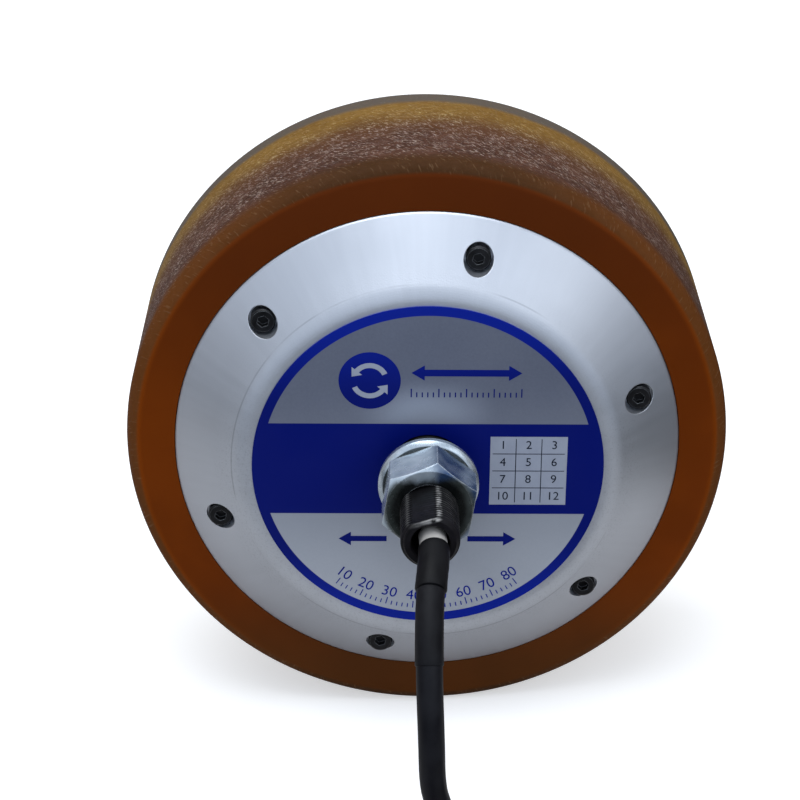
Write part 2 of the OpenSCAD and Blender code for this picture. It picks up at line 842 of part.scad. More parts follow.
module lamination() {
    difference() {
        circle(r = stator_r);
        circle(r = hub_r);
        for (k = [0:slot_count - 1]) rotate(-top_angle + (k + 0.5) * slot_pitch) slot();
    }
}

module stator_core() {
    color("slategray") plate(stack_front_y, stack_back_y) lamination();
}

// End plate of the stack with the lips that keep the end turns in place; out is -1 or 1
module insulator(y, out) {
    into = insulator_t / 2;
    lip_h = coil_end - lip_under + into;
    base_y = out < 0 ? y - insulator_t : y;
    lip_y = out < 0 ? base_y + into - lip_h : base_y + insulator_t - into;
    color("ivory") {
        plate(base_y, base_y + insulator_t) lamination();
        ring(slot_floor_r - lip_t, slot_floor_r, lip_y, lip_y + lip_h);
        for (k = [0:slot_count - 1])
            at_angle(top_angle + k * slot_pitch)
                translate([coil_out_r + coil_gap, lip_y, -lip_w / 2]) cube([lip_t, lip_h, lip_w]);
    }
}

module front_insulator() insulator(stack_front_y, -1);

module rear_insulator() insulator(stack_back_y, 1);

module stator_coils() {
    half_len = stack_len / 2 + insulator_t;
    straight = half_len + coil_end - coil_half_w;
    color("chocolate") for (k = [0:slot_count - 1])
        at_angle(top_angle + k * slot_pitch)
            translate([coil_in_r, stack_mid_y, 0]) rotate([90, 0, 90])
                linear_extrude(coil_out_r - coil_in_r) difference() {
                    union() {
                        square([2 * straight, 2 * coil_half_w], center = true);
                        for (s = [-1, 1])
                            translate([s * straight, 0]) circle(r = coil_half_w, $fn = small_fn);
                    }
                    square([2 * half_len + 2 * fit, tooth_w + 2 * coil_gap], center = true);
                }
}

// Encoder

module encoder_magnet_ring() {
    color("dimgray") ring(encoder_ring_in_r, encoder_ring_in_r + encoder_ring_t,
        encoder_ring_y, encoder_ring_y + encoder_ring_w);
}

module encoder_board() {
    chips = [30, 90, 150, 270];
    color("darkgreen") {
        difference() {
            ring(board_in_r, board_d / 2, board_y, board_back_y);
            for (k = [1:board_posts])
                rod(board_screw_r + 0.1, standoff_at_r, post_pitch * k, board_y - 1, board_back_y + 1);
        }
        for (a = chips)
            at_angle(a) translate([encoder_mid_r - chip_side / 2, board_back_y, -chip_side / 2])
                cube([chip_side, chip_h, chip_side]);
    }
}

module board_standoffs() {
    color("gold") for (k = [1:board_posts]) difference() {
        rod(standoff_r, standoff_at_r, post_pitch * k, stack_back_y, board_y);
        rod(board_screw_r + fit, standoff_at_r, post_pitch * k, stack_back_y - 1, board_y + 1);
    }
}

module board_screws() {
    color("silver") for (k = [1:board_posts]) {
        rod(board_screw_r, standoff_at_r, post_pitch * k, stack_back_y - board_screw_reach,
            board_back_y + 0.1);
        rod(board_head_r, standoff_at_r, post_pitch * k, board_back_y, board_back_y + board_head_h);
    }
}

// Wires and lead

// The last bend of a wire through the window into the bore, at one of four places side by side
function into_bore(x, end_x, end_z) = [
    [x, wire_y, seat_r + 2], [x, wire_y - 0.8, 8], [x, wire_y - 2.3, 3 + end_z],
    [end_x, inner_lead_back_y + 1.2, end_z], [end_x, inner_lead_back_y + fit, end_z]
];

module phase_leads() {
    coil_tip_y = stack_front_y - insulator_t - coil_end;
    start_y = coil_tip_y - wire_d / 2 - run;
    mid_r = (coil_in_r + coil_out_r) / 2;
    places = [[-1, -3.6, -1.3, -1.4], [0, -1.2, -1.2, 1.2], [1, 1.2, 1.2, 1.2]];
    color("firebrick") for (p = places) {
        a = top_angle - p[0] * slot_pitch;
        tip = [mid_r * cos(a), start_y, mid_r * sin(a)];
        tube(concat([tip, [tip.x * 0.5 + p[1] / 2, start_y, 30]], into_bore(p[1], p[2], p[3])),
            wire_d / 2);
    }
}

module sensor_lead() {
    x = 6.2;
    z = 23.2;
    color("gray") tube(concat(
        [[x, board_y - fit, z], [x, stack_mid_y, z], [x, stack_front_y - 2, z]],
        into_bore(3.6, 1.3, -1.4)
    ), wire_d / 2);
}

module inner_lead() {
    color("#303236") translate([0, inner_lead_front_y, 0]) rotate([-90, 0, 0])
        cylinder(r = lead_r, h = inner_lead_back_y - inner_lead_front_y);
}

module bore_potting() {
    color("lightgray") ring(lead_r + fit, bore_r - fit, potting_front_y, potting_front_y + potting_len);
}

module lead_liner() {
    color("gainsboro") sleeve_on_lead(liner_from, liner_to, liner_d / 2);
}

module lead_boot() {
    color("#202125") sleeve_on_lead(liner_to, boot_to, boot_d / 2);
}

module lead_sleeve() {
    color("#202125") sleeve_on_lead(boot_to, sleeve_to, sleeve_d / 2);
}

module lead_cable() {
    color("#303236") tube(route, lead_r);
}

module lead_coil() {
    color("#303236") translate([coil_x, coil_y, floor_z]) rotate_extrude()
        translate([coil_inner_r, 0]) square([coil_outer_r - coil_inner_r, lead_d]);
}

module lead_tail() {
    color("#303236") tube(tail, lead_r, [0, 0, 1]);
}

// Puts a piece made along +X on the lead's far end, pointing away from the tail
module on_far_end() translate([plug_x, plug_y, floor_z + plug_d / 2]) rotate([0, -90, 0]) children();

module plug_body() {
    boot_len = 12;
    back_r = lead_r + 1;
    grip_len = plug_len * 0.45;
    color("#202125") on_far_end() rotate_extrude() polygon([
        [0, 0], [back_r, 0], [plug_d / 2 - 1.5, boot_len], [plug_d / 2 - 1.5, grip_len],
        [plug_d / 2 - 2.5, grip_len], [plug_d / 2 - 2.5, plug_len], [0, plug_len]
    ]);
}

module plug_ring() {
    grip_len = plug_len * 0.45;
    play = 0.3;
    color("silver") on_far_end() difference() {
        translate([0, 0, grip_len + play]) cylinder(d = plug_d, h = plug_len - grip_len - 2);
        cylinder(r = plug_d / 2 - 2.5 + fit, h = plug_len + 1);
    }
}

tyre();
rim_shell();
rotor_yoke();
rotor_magnets();
front_cover();
rear_cover();
front_cover_screws();
rear_cover_screws();
label_plate();
shaft_seal();
front_bearing_outer_race();
front_bearing_inner_race();
front_bearing_balls();
front_bearing_cage();
front_bearing_shields();
rear_bearing_outer_race();
rear_bearing_inner_race();
rear_bearing_balls();
rear_bearing_cage();
rear_bearing_shields();
preload_washer();
encoder_magnet_ring();
axle();
stator_hub();
hub_key();
stator_core();
front_insulator();
rear_insulator();
stator_coils();
encoder_board();
board_standoffs();
board_screws();
phase_leads();
sensor_lead();
inner_lead();
bore_potting();
axle_washer();
axle_nut();
lead_liner();
lead_boot();
lead_sleeve();
lead_cable();
lead_coil();
lead_tail();
plug_body();
plug_ring();
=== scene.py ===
import math
import bpy
import bmesh
from mathutils import Matrix, Vector


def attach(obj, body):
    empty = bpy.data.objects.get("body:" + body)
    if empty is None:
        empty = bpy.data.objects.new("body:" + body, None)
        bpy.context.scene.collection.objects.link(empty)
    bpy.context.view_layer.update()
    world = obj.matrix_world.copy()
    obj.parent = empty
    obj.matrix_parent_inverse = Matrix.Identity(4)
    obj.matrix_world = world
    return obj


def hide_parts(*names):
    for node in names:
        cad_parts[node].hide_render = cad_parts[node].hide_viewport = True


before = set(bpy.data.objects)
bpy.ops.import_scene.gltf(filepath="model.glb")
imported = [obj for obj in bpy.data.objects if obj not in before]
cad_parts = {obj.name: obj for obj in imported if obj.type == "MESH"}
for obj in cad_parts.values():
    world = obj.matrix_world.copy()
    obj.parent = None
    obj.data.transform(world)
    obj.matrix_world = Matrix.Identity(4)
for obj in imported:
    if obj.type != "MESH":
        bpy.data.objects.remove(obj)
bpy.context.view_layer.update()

mm = 0.001


# Small tools used by every piece

def deselectAll():
    if bpy.context.object and bpy.context.object.mode != "OBJECT":
        bpy.ops.object.mode_set(mode="OBJECT")
    bpy.ops.object.select_all(action="DESELECT")


def makeActive(obj):
    deselectAll()
    obj.select_set(True)
    bpy.context.view_layer.objects.active = obj


def meshPiece(name, points, faces=(), edges=()):
    mesh = bpy.data.meshes.new(name)
    mesh.from_pydata([Vector(p) * mm for p in points], edges, faces)
    obj = bpy.data.objects.new(name, mesh)
    bpy.context.scene.collection.objects.link(obj)
    return obj


# Edit mode with the whole mesh selected, and back again
def openMesh(obj):
    makeActive(obj)
    bpy.ops.object.mode_set(mode="EDIT")
    bpy.ops.mesh.select_all(action="SELECT")


def closeMesh():
    bpy.ops.object.mode_set(mode="OBJECT")


def cleanMesh(obj, distance=1e-6):
    openMesh(obj)
    bpy.ops.mesh.remove_doubles(threshold=distance)
    bpy.ops.mesh.normals_make_consistent(inside=False)
    closeMesh()


def smooth(obj, angle=35):
    makeActive(obj)
    bpy.ops.object.shade_smooth_by_angle(angle=math.radians(angle))


def settle(obj):
    makeActive(obj)
    bpy.ops.object.transform_apply(location=True, rotation=True, scale=True)


def joinPieces(pieces, name):
    deselectAll()
    for piece in pieces:
        piece.select_set(True)
    bpy.context.view_layer.objects.active = pieces[0]
    if len(pieces) > 1:
        bpy.ops.object.join()
    pieces[0].name = name
    pieces[0].data.name = name
    return pieces[0]


# A profile of (radius, place along the axle) in mm, spun round the axle
def spinRound(name, profile, steps=128, closed=False):
    points = [(r, y, 0.0) for r, y in profile]
    edges = [(i, i + 1) for i in range(len(points) - 1)]
    if closed:
        edges.append((len(points) - 1, 0))
    obj = meshPiece(name, points, edges=edges)
    openMesh(obj)
    bpy.ops.mesh.spin(steps=steps, angle=-2 * math.pi, center=(0, 0, 0), axis=(0, 1, 0))
    closeMesh()
    cleanMesh(obj, 2e-7)
    return obj


# The faces between rings of points; closed also joins the last ring to the first
def ringFaces(rows, sides, closed):
    faces = []
    for i in range(rows if closed else rows - 1):
        j = (i + 1) % rows
        for k in range(sides):
            m = (k + 1) % sides
            faces.append((i * sides + k, i * sides + m, j * sides + m, j * sides + k))
    return faces


def arcPoints(cx, cy, r, a0, a1, steps):
    return [(cx + r * math.cos(math.radians(a0 + (a1 - a0) * i / steps)),
             cy + r * math.sin(math.radians(a0 + (a1 - a0) * i / steps))) for i in range(steps + 1)]


# A shader socket with operators, and a node tree with one method that adds any node

class Wire:
    def __init__(self, nodes, socket):
        self.nodes, self.socket = nodes, socket

    def maths(self, operation, *values):
        return self.nodes.node("ShaderNodeMath", {"operation": operation}, dict(enumerate(values)))

    def __add__(self, other): return self.maths("ADD", self, other)
    def __radd__(self, other): return self.maths("ADD", other, self)
    def __sub__(self, other): return self.maths("SUBTRACT", self, other)
    def __rsub__(self, other): return self.maths("SUBTRACT", other, self)
    def __mul__(self, other): return self.maths("MULTIPLY", self, other)
    def __truediv__(self, other): return self.maths("DIVIDE", self, other)
    def __pow__(self, other): return self.maths("POWER", self, other)
    def __abs__(self): return self.maths("ABSOLUTE", self)
    def root(self): return self.maths("SQRT", self)
    def sine(self): return self.maths("SINE", self)
    def angleWith(self, other): return self.maths("ARCTAN2", self, other)
    def most(self, other): return self.maths("MAXIMUM", self, other)
    def wrap(self, size): return self.maths("FLOORED_MODULO", self, size)


class Nodes:
    def __init__(self, tree):
        self.tree = tree
        tree.nodes.clear()

    def node(self, kind, settings=None, inputs=None, output=0):
        node = self.tree.nodes.new(kind)
        for key, value in (settings or {}).items():
            setattr(node, key, value)
        for key, value in (inputs or {}).items():
            if isinstance(value, Wire):
                self.tree.links.new(value.socket, node.inputs[key])
            else:
                node.inputs[key].default_value = value
        return Wire(self, node.outputs[output])

    def ramp(self, value, low, high, a=0.0, b=1.0):
        return self.node("ShaderNodeMapRange", {"interpolation_type": "SMOOTHSTEP"},
                         {0: value, 1: low, 2: high, 3: a, 4: b})

    def blendColours(self, factor, a, b):
        return self.node("ShaderNodeMix", {"data_type": "RGBA"}, {0: factor, 6: a, 7: b}, 2)

    def dot(self, a, b):
        return self.node("ShaderNodeVectorMath", {"operation": "DOT_PRODUCT"}, {0: a, 1: b}, "Value")


class Finish(Nodes):
    def __init__(self, name, metallic=0.0, roughness=0.5, **constants):
        self.material = bpy.data.materials.new(name)
        self.material.use_nodes = True
        super().__init__(self.material.node_tree)
        self.shader = self.tree.nodes.new("ShaderNodeBsdfPrincipled")
        out = self.tree.nodes.new("ShaderNodeOutputMaterial")
        self.tree.links.new(self.shader.outputs[0], out.inputs[0])
        self.shader.inputs["Metallic"].default_value = metallic
        self.shader.inputs["Roughness"].default_value = roughness
        for key, value in constants.items():
            self.shader.inputs[key.replace("_", " ")].default_value = value

    def feed(self, socket, wire):
        self.tree.links.new(wire.socket, self.shader.inputs[socket])

    def place(self):
        return self.node("ShaderNodeTexCoord", output="Object")

    def xyz(self):
        split = self.node("ShaderNodeSeparateXYZ", inputs={0: self.place()}).socket.node
        return [Wire(self, s) for s in split.outputs]

    def stretched(self, *factors):
        return self.node("ShaderNodeVectorMath", {"operation": "MULTIPLY"}, {0: self.place(), 1: factors})

    def noise(self, scale, detail=3.0, vector=None, rough=0.5):
        return self.node("ShaderNodeTexNoise", None, {"Vector": vector or self.place(), "Scale": scale,
                                                     "Detail": detail, "Roughness": rough})

    # The distance to the nearest edge between cells
    def cellEdges(self, scale, vector):
        return self.node("ShaderNodeTexVoronoi", {"feature": "DISTANCE_TO_EDGE"},
                         {"Vector": vector, "Scale": scale})

    def mottle(self, scale):
        return self.ramp(self.noise(scale, 5, None, 0.6), 0.3, 0.72)

    def roughen(self, scale, low, high):
        self.feed("Roughness", self.ramp(self.noise(scale, 3), 0.3, 0.7, low, high))

    def bump(self, height, strength=0.3, distance=0.0002, normal=None):
        inputs = {"Height": height, "Strength": strength, "Distance": distance}
        if normal:
            inputs["Normal"] = normal
        return self.node("ShaderNodeBump", None, inputs)

    def roundedEdges(self, radius):
        return self.node("ShaderNodeBevel", {"samples": 6}, {"Radius": radius})

    # 1 along the piece's sharp edges, 0 elsewhere: the mask for painted highlights on the edges
    def paintedGlintEdges(self, radius):
        facing = self.dot(self.roundedEdges(radius), self.node("ShaderNodeNewGeometry", output="Normal"))
        return self.ramp(1 - facing, 0.015, 0.12)

    # The distance from the axle's line
    def radius(self):
        x, _, z = self.xyz()
        return (x * x + z * z).root()


# A colour as it reads in the photograph, from 0 to 255, made linear
def tone(r, g, b):
    def linear(v):
        v /= 255
        return v / 12.92 if v <= 0.04045 else ((v + 0.055) / 1.055) ** 2.4
    return (linear(r), linear(g), linear(b), 1.0)


def paint(obj, finish):
    obj.data.materials.clear()
    obj.data.materials.append(finish.material)


# The camera stands in front of the wheel, a little above it

viewpoint = {
    "place": (0.0, -0.57546, 0.30735),
    "elevation": 26.63,
    "roll": -1.93,
    "focalPixels": 2400,
    "axisPixel": (427.25, 447.93),      # where the wheel's axis meets the cover's edge plane
    "framePixels": 800,
}


def makeCamera():
    v = viewpoint
    cam = bpy.data.cameras.new("photoCamera")
    cam.sensor_width = 36
    cam.lens = cam.sensor_width * v["focalPixels"] / v["framePixels"]
    cam.shift_x = -(v["axisPixel"][0] / v["framePixels"] - 0.5)
    cam.shift_y = v["axisPixel"][1] / v["framePixels"] - 0.5
    cam.clip_start = 0.01
    e, r = math.radians(v["elevation"]), math.radians(v["roll"])
    back = Vector((0, -math.cos(e), math.sin(e)))
    right = Vector((0, 0, 1)).cross(back).normalized()
    up = back.cross(right)
    right2 = math.cos(r) * right + math.sin(r) * up
    up2 = -math.sin(r) * right + math.cos(r) * up
    turn = Matrix((right2, up2, back)).transposed().to_4x4()
    obj = bpy.data.objects.new("photoCamera", cam)
    obj.matrix_world = Matrix.Translation(v["place"]) @ turn
    bpy.context.scene.collection.objects.link(obj)
    bpy.context.scene.camera = obj


makeCamera()
bpy.context.scene.view_settings.view_transform = "Standard"
print("camera ready")

# The lead is one cable with its sleeves and plug

lead = {
    "diameter": 7.0,
    "length": 0.80,
    "floor": -86.0,
    "coilCentre": (28.0, -86.5),
    "firstTurn": 31.5,
    "turnSpacing": 7.0,
    "turns": 2.5,
    "hanging": [
        (0, -6, 0), (0, -9, 0), (0.6, -15, -0.3), (0.9, -20, -1.1), (0.69, -24.5, -2.4),
        (0.14, -29, -4.2), (-0.32, -33, -6.4), (-0.8, -38, -9.9), (-1.12, -43, -14.8),
        (-1.35, -47.5, -20.4), (-1.45, -51, -26.6), (-1.46, -53.5, -33.6), (-1.48, -54.8, -41.2),
        (-1.49, -55, -49.6),
    ],
    "landing": [
        (-0.8, -55, -55.8), (1.5, -55, -62.8), (5.9, -55, -69.3), (12.2, -55, -74.8),
        (19.7, -55, -78.3), (28, -55, -79.6),
    ],
    "easing": 0.2,
    "tail": [
        (20, -135.5, -82), (12, -135.5, -80.75), (4, -135.5, -79.5), (-2, -135.5, -79), (-4, -135.5, -79),
    ],
    "sides": 20,
    # where each covering starts and ends, as numbers of the hanging points, and how far past them
    "liner": {"marks": (2, 3), "past": (-1.0, -0.2), "radius": 3.8},
    "boot": {"marks": (3, 6), "past": (-0.2, -0.1), "radius": 4.28},
    "sleeve": {"marks": (6, 9), "past": (0, 0), "radius": 3.79},
    "sleeveGap": 0.02,
}


def leadRoute():
    cx, cy = lead["coilCentre"]
    low = lead["floor"] + lead["diameter"] / 2
    points = lead["hanging"] + lead["landing"]
    first = points[-1][2]
    count = int(lead["turns"] * 24)
    for i in range(1, count + 1):
        t = lead["turns"] * i / count
        r = lead["firstTurn"] + lead["turnSpacing"] * t
        a = math.radians(90 - 360 * t)
        z = low + (first - low) * (0.5 + 0.5 * math.cos(math.pi * min(1.0, t / lead["easing"])))
        points.append((cx + r * math.cos(a), cy + r * math.sin(a), z))
    return [Vector(p) for p in points + lead["tail"]]


# A smooth curve through the points, in short even steps
def smoothRoute(points, step=2.0):
    fine = []
    for i in range(len(points) - 1):
        p0 = points[max(i - 1, 0)]
        p1, p2 = points[i], points[i + 1]
        p3 = points[min(i + 2, len(points) - 1)]
        count = max(1, round((p2 - p1).length / step))
        for k in range(count):
            t = k / count
            fine.append(0.5 * (2 * p1 + (p2 - p0) * t + (2 * p0 - 5 * p1 + 4 * p2 - p3) * t * t
                               + (3 * p1 - 3 * p2 + p3 - p0) * t ** 3))
    fine.append(points[-1])
    return fine


class Path:
    def __init__(self, points):
        self.points = points
        self.at = [0.0]
        for a, b in zip(points, points[1:]):
            self.at.append(self.at[-1] + (b - a).length)
        heading = (points[1] - points[0]).normalized()
        side = Vector((1, 0, 0))
        side = (side - side.dot(heading) * heading).normalized()
        self.frames = []
        for i in range(len(points)):
            heading = (points[min(i + 1, len(points) - 1)] - points[max(i - 1, 0)]).normalized()
            side = (side - side.dot(heading) * heading).normalized()
            self.frames.append((heading, side))

    def stand(self, s):
        s = min(max(s, 0.0), self.at[-1])
        i = 0
        while i < len(self.at) - 2 and self.at[i + 1] < s:
            i += 1
        t = (s - self.at[i]) / (self.at[i + 1] - self.at[i])
        heading = self.frames[i][0].lerp(self.frames[i + 1][0], t).normalized()
        side = self.frames[i][1].lerp(self.frames[i + 1][1], t)
        side = (side - side.dot(heading) * heading).normalized()
        return self.points[i].lerp(self.points[i + 1], t), heading, side


# Rings round a path at (distance along it, radius); closed makes the rings one hollow wall
def sweepRings(name, path, stations, sides=24, closed=False):
    points = []
    for s, r in stations:
        at, heading, side = path.stand(s)
        up = heading.cross(side)
        for k in range(sides):
            a = 2 * math.pi * k / sides
            points.append(at + r * (math.cos(a) * side + math.sin(a) * up))
    rows = len(stations)
    faces = ringFaces(rows, sides, closed)
    if not closed:
        faces.append(tuple(reversed(range(sides))))
        faces.append(tuple((rows - 1) * sides + k for k in range(sides)))
    obj = meshPiece(name, points, faces)
    cleanMesh(obj, 1e-7)
    smooth(obj, 40)
    return obj


# A tube from s0 to s1 with rounded lips, and waves where it is shrunk on
def sleeveRings(s0, s1, inner, outer, lip=0.35, step=1.5, wave=0.0):
    rings = [(s0, inner), (s0, outer - lip), (s0 + 0.3 * lip, outer - 0.3 * lip), (s0 + lip, outer)]
    count = max(2, round((s1 - s0 - 2 * lip) / step))
    for i in range(1, count):
        s = s0 + lip + (s1 - s0 - 2 * lip) * i / count
        rings.append((s, outer - wave * (0.5 + 0.5 * math.sin(2.1 * s) * math.sin(0.7 * s + 1))))
    rings += [(s1 - lip, outer), (s1 - 0.3 * lip, outer - 0.3 * lip), (s1, outer - lip), (s1, inner)]
    for i in range(count - 1, 0, -1):
        rings.append((s0 + lip + (s1 - s0 - 2 * lip) * i / count, inner))
    return rings


def leadFinish(name, colour, rough, wear=0.35, grain=900):
    f = Finish(name, roughness=rough, Specular_IOR_Level=0.13)
    broad = f.noise(140, 4)
    fine = f.noise(grain, 2)
    scuff = f.ramp(f.noise(420, 5, f.stretched(1, 0.5, 1)), 0.58, 0.75)
    lighter = tuple(min(1.0, c * 1.7 + 0.006) for c in colour[:3]) + (1.0,)
    paler = f.ramp(broad, 0.35, 0.7) * 0.5 + scuff * wear * 0.4
    f.feed("Base Color", f.blendColours(paler, colour, lighter))
    f.feed("Roughness", f.ramp(broad, 0.3, 0.7, rough - 0.07, rough + 0.1) - scuff * 0.05)
    f.feed("Normal", f.bump(fine + broad * 0.6, 0.12, 0.0001))
    return f


def buildLead():
    path = Path(smoothRoute(leadRoute()))
    r = lead["diameter"] / 2
    print("lead route %.3f m" % (path.at[-1] * mm))
    stations = [(0.0, r - 0.3), (0.1, r)] + [(s, r) for s in path.at[1:-1]] + [(path.at[-1], r)]
    cable = sweepRings("leadCable", path, stations, lead["sides"])
    paint(cable, leadFinish("cableJacket", tone(17, 17, 22), 0.42))
    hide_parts("lead_cable", "lead_coil", "lead_tail")

    marks = [0.0]
    for p in lead["hanging"][1:]:
        nearest = min(range(len(path.points)), key=lambda i: (path.points[i] - Vector(p)).length)
        marks.append(path.at[nearest])

    def covering(name, part, *shape):
        (i, j), (before, after) = part["marks"], part["past"]
        bore = r + lead["sleeveGap"]
        rings = sleeveRings(marks[i] + before, marks[j] + after, bore, part["radius"], *shape)
        return sweepRings(name, path, rings, closed=True)

    liner = covering("leadLiner", lead["liner"])
    paint(liner, leadFinish("paleLiner", tone(160, 156, 152), 0.5, 0.1))
    boot = covering("leadBoot", lead["boot"], 0.5, 1.2, 0.12)
    paint(boot, leadFinish("shrinkBoot", tone(10, 10, 13), 0.45, 0.5))
    sleeve = covering("leadSleeve", lead["sleeve"], 0.3, 1.5, 0.05)
    paint(sleeve, leadFinish("shrinkSleeve", tone(15, 15, 19), 0.46, 0.4))
    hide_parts("lead_liner")
    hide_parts("lead_boot")
    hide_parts("lead_sleeve")
    for piece in (cable, liner, boot, sleeve):
        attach(piece, "stator")
    return path, cable, liner, boot, sleeve


path, cable, liner, boot, sleeve = buildLead()

# The plug lies beside the coil, its axis along -X
plug = {
    "back": (-4.0, -135.5, -79.0),
    "length": 40.0,
    "radius": 7.0,
    "gripRibs": 7,
    "pins": 8,
    "pinRadius": 0.5,
    "pinCircle": 2.3,
    "wallStep": 1.5,
}


# Made by spinning round the axle's direction, then turned and moved to the lead's end
def toPlug(obj):
    turn = Matrix(((0, -1, 0), (0, 0, 1), (-1, 0, 0))).to_4x4()
    x, y, z = plug["back"]
    obj.matrix_world = Matrix.Translation((x * mm, y * mm, z * mm)) @ turn
    settle(obj)
    return obj


def buildPlug():
    p = plug
    r, length, wall = p["radius"], p["length"], p["radius"] - p["wallStep"]
    grip, back = length * 0.45, lead["diameter"] / 2 + 1.0
    profile = [(0.0, 0.0), (back - 0.3, 0.0), (back, 0.4)]
    for i in range(p["gripRibs"]):
        y0 = 1.2 + i * 1.5
        base = back + (wall - back) * y0 / 12
        profile += [(base, y0), (base - 0.45, y0 + 0.3), (base - 0.45, y0 + 0.75), (base + 0.06, y0 + 1.05)]
    profile += [(wall - 0.05, 12.2), (wall, 12.8), (wall, grip - 0.4), (wall - 0.4, grip),
                (wall - 1.0, grip), (wall - 1.0, length - 0.4), (wall - 1.4, length),
                (wall - 1.9, length), (wall - 1.9, length - 7), (0.0, length - 7)]
    housing = toPlug(spinRound("plugHousing", profile, 64))
    smooth(housing, 30)
    paint(housing, leadFinish("plugMoulding", tone(26, 26, 30), 0.5, 0.3, 1500))

    inner, low = wall - 1.0 + 0.03, r - 0.5
    y0, y1 = grip + 0.3, length - 1.7
    profile = [(inner, y0), (low - 0.3, y0), (low, y0 + 0.3), (low, y0 + 1.6), (r, y0 + 2.1),
               (r, y1 - 3.4), (low, y1 - 3.0), (low, y1 - 0.4), (low - 0.4, y1), (inner, y1)]
    ring = toPlug(spinRound("plugNut", profile, 96, closed=True))
    smooth(ring, 30)
    metal = Finish("plugNickel", metallic=1.0, roughness=0.3)
    x, y, z = metal.xyz()
    _, backY, backZ = p["back"]
    teeth = (y - backY * mm).angleWith(z - backZ * mm) * 24 / math.pi
    knurl = abs((teeth + x * 900).wrap(1) - 0.5) + abs((teeth - x * 900).wrap(1) - 0.5)
    mottled = metal.noise(300, 3)
    metal.feed("Base Color", metal.blendColours(mottled, tone(150, 152, 158), tone(198, 200, 206)))
    metal.roughen(500, 0.24, 0.4)
    metal.feed("Normal", metal.bump(knurl, 0.5, 0.0003))
    paint(ring, metal)

    pins, q, foot, tip = [], p["pinRadius"], length - 6.8, length - 1.0
    for i in range(p["pins"]):
        ringR, a = (p["pinCircle"], 2 * math.pi * i / (p["pins"] - 1)) if i else (0.0, 0.0)
        pin = spinRound("pin", [(0, foot), (q, foot), (q, tip - 0.8), (q - 0.2, tip - 0.1), (0, tip)], 12)
        pin.location = (ringR * math.cos(a) * mm, 0, ringR * math.sin(a) * mm)
        settle(pin)
        pins.append(pin)
    pinSet = toPlug(joinPieces(pins, "plugPins"))
    smooth(pinSet, 30)
    gold = Finish("goldPins", metallic=1.0, roughness=0.25)
    gold.feed("Base Color", gold.blendColours(gold.noise(900, 2), tone(190, 150, 70), tone(226, 190, 110)))
    paint(pinSet, gold)

    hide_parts("plug_body")
    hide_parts("plug_ring")
    for piece, slot in ((housing, "black_rubber"), (ring, "zinc"), (pinSet, "zinc")):
        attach(piece, "stator")
    return [housing, ring, pinSet]


plugPieces = buildPlug()
[tuple(p * mm) for p in path.points]
[liner, boot, sleeve] + plugPieces
print("lead, sleeves and plug ready")

# The tyre

tread = {
    "radius": 86.0,
    "rimRadius": 72.04,
    "front": 38.0,
    "back": 100.0,
    "shoulder": 4.5,
    "rimGap": 0.02,
    "slant": 1.2,
    # where each band of colour starts and is full, in metres along the axle; the olive and amber bands are
    # painted light
    "olive": (0.0475, 0.0405),
    "brown": (0.058, 0.069),
    "amber": (0.067, 0.084),
    "grey": (0.0875, 0.0912),
    "rear": (0.0958, 0.0978),
}


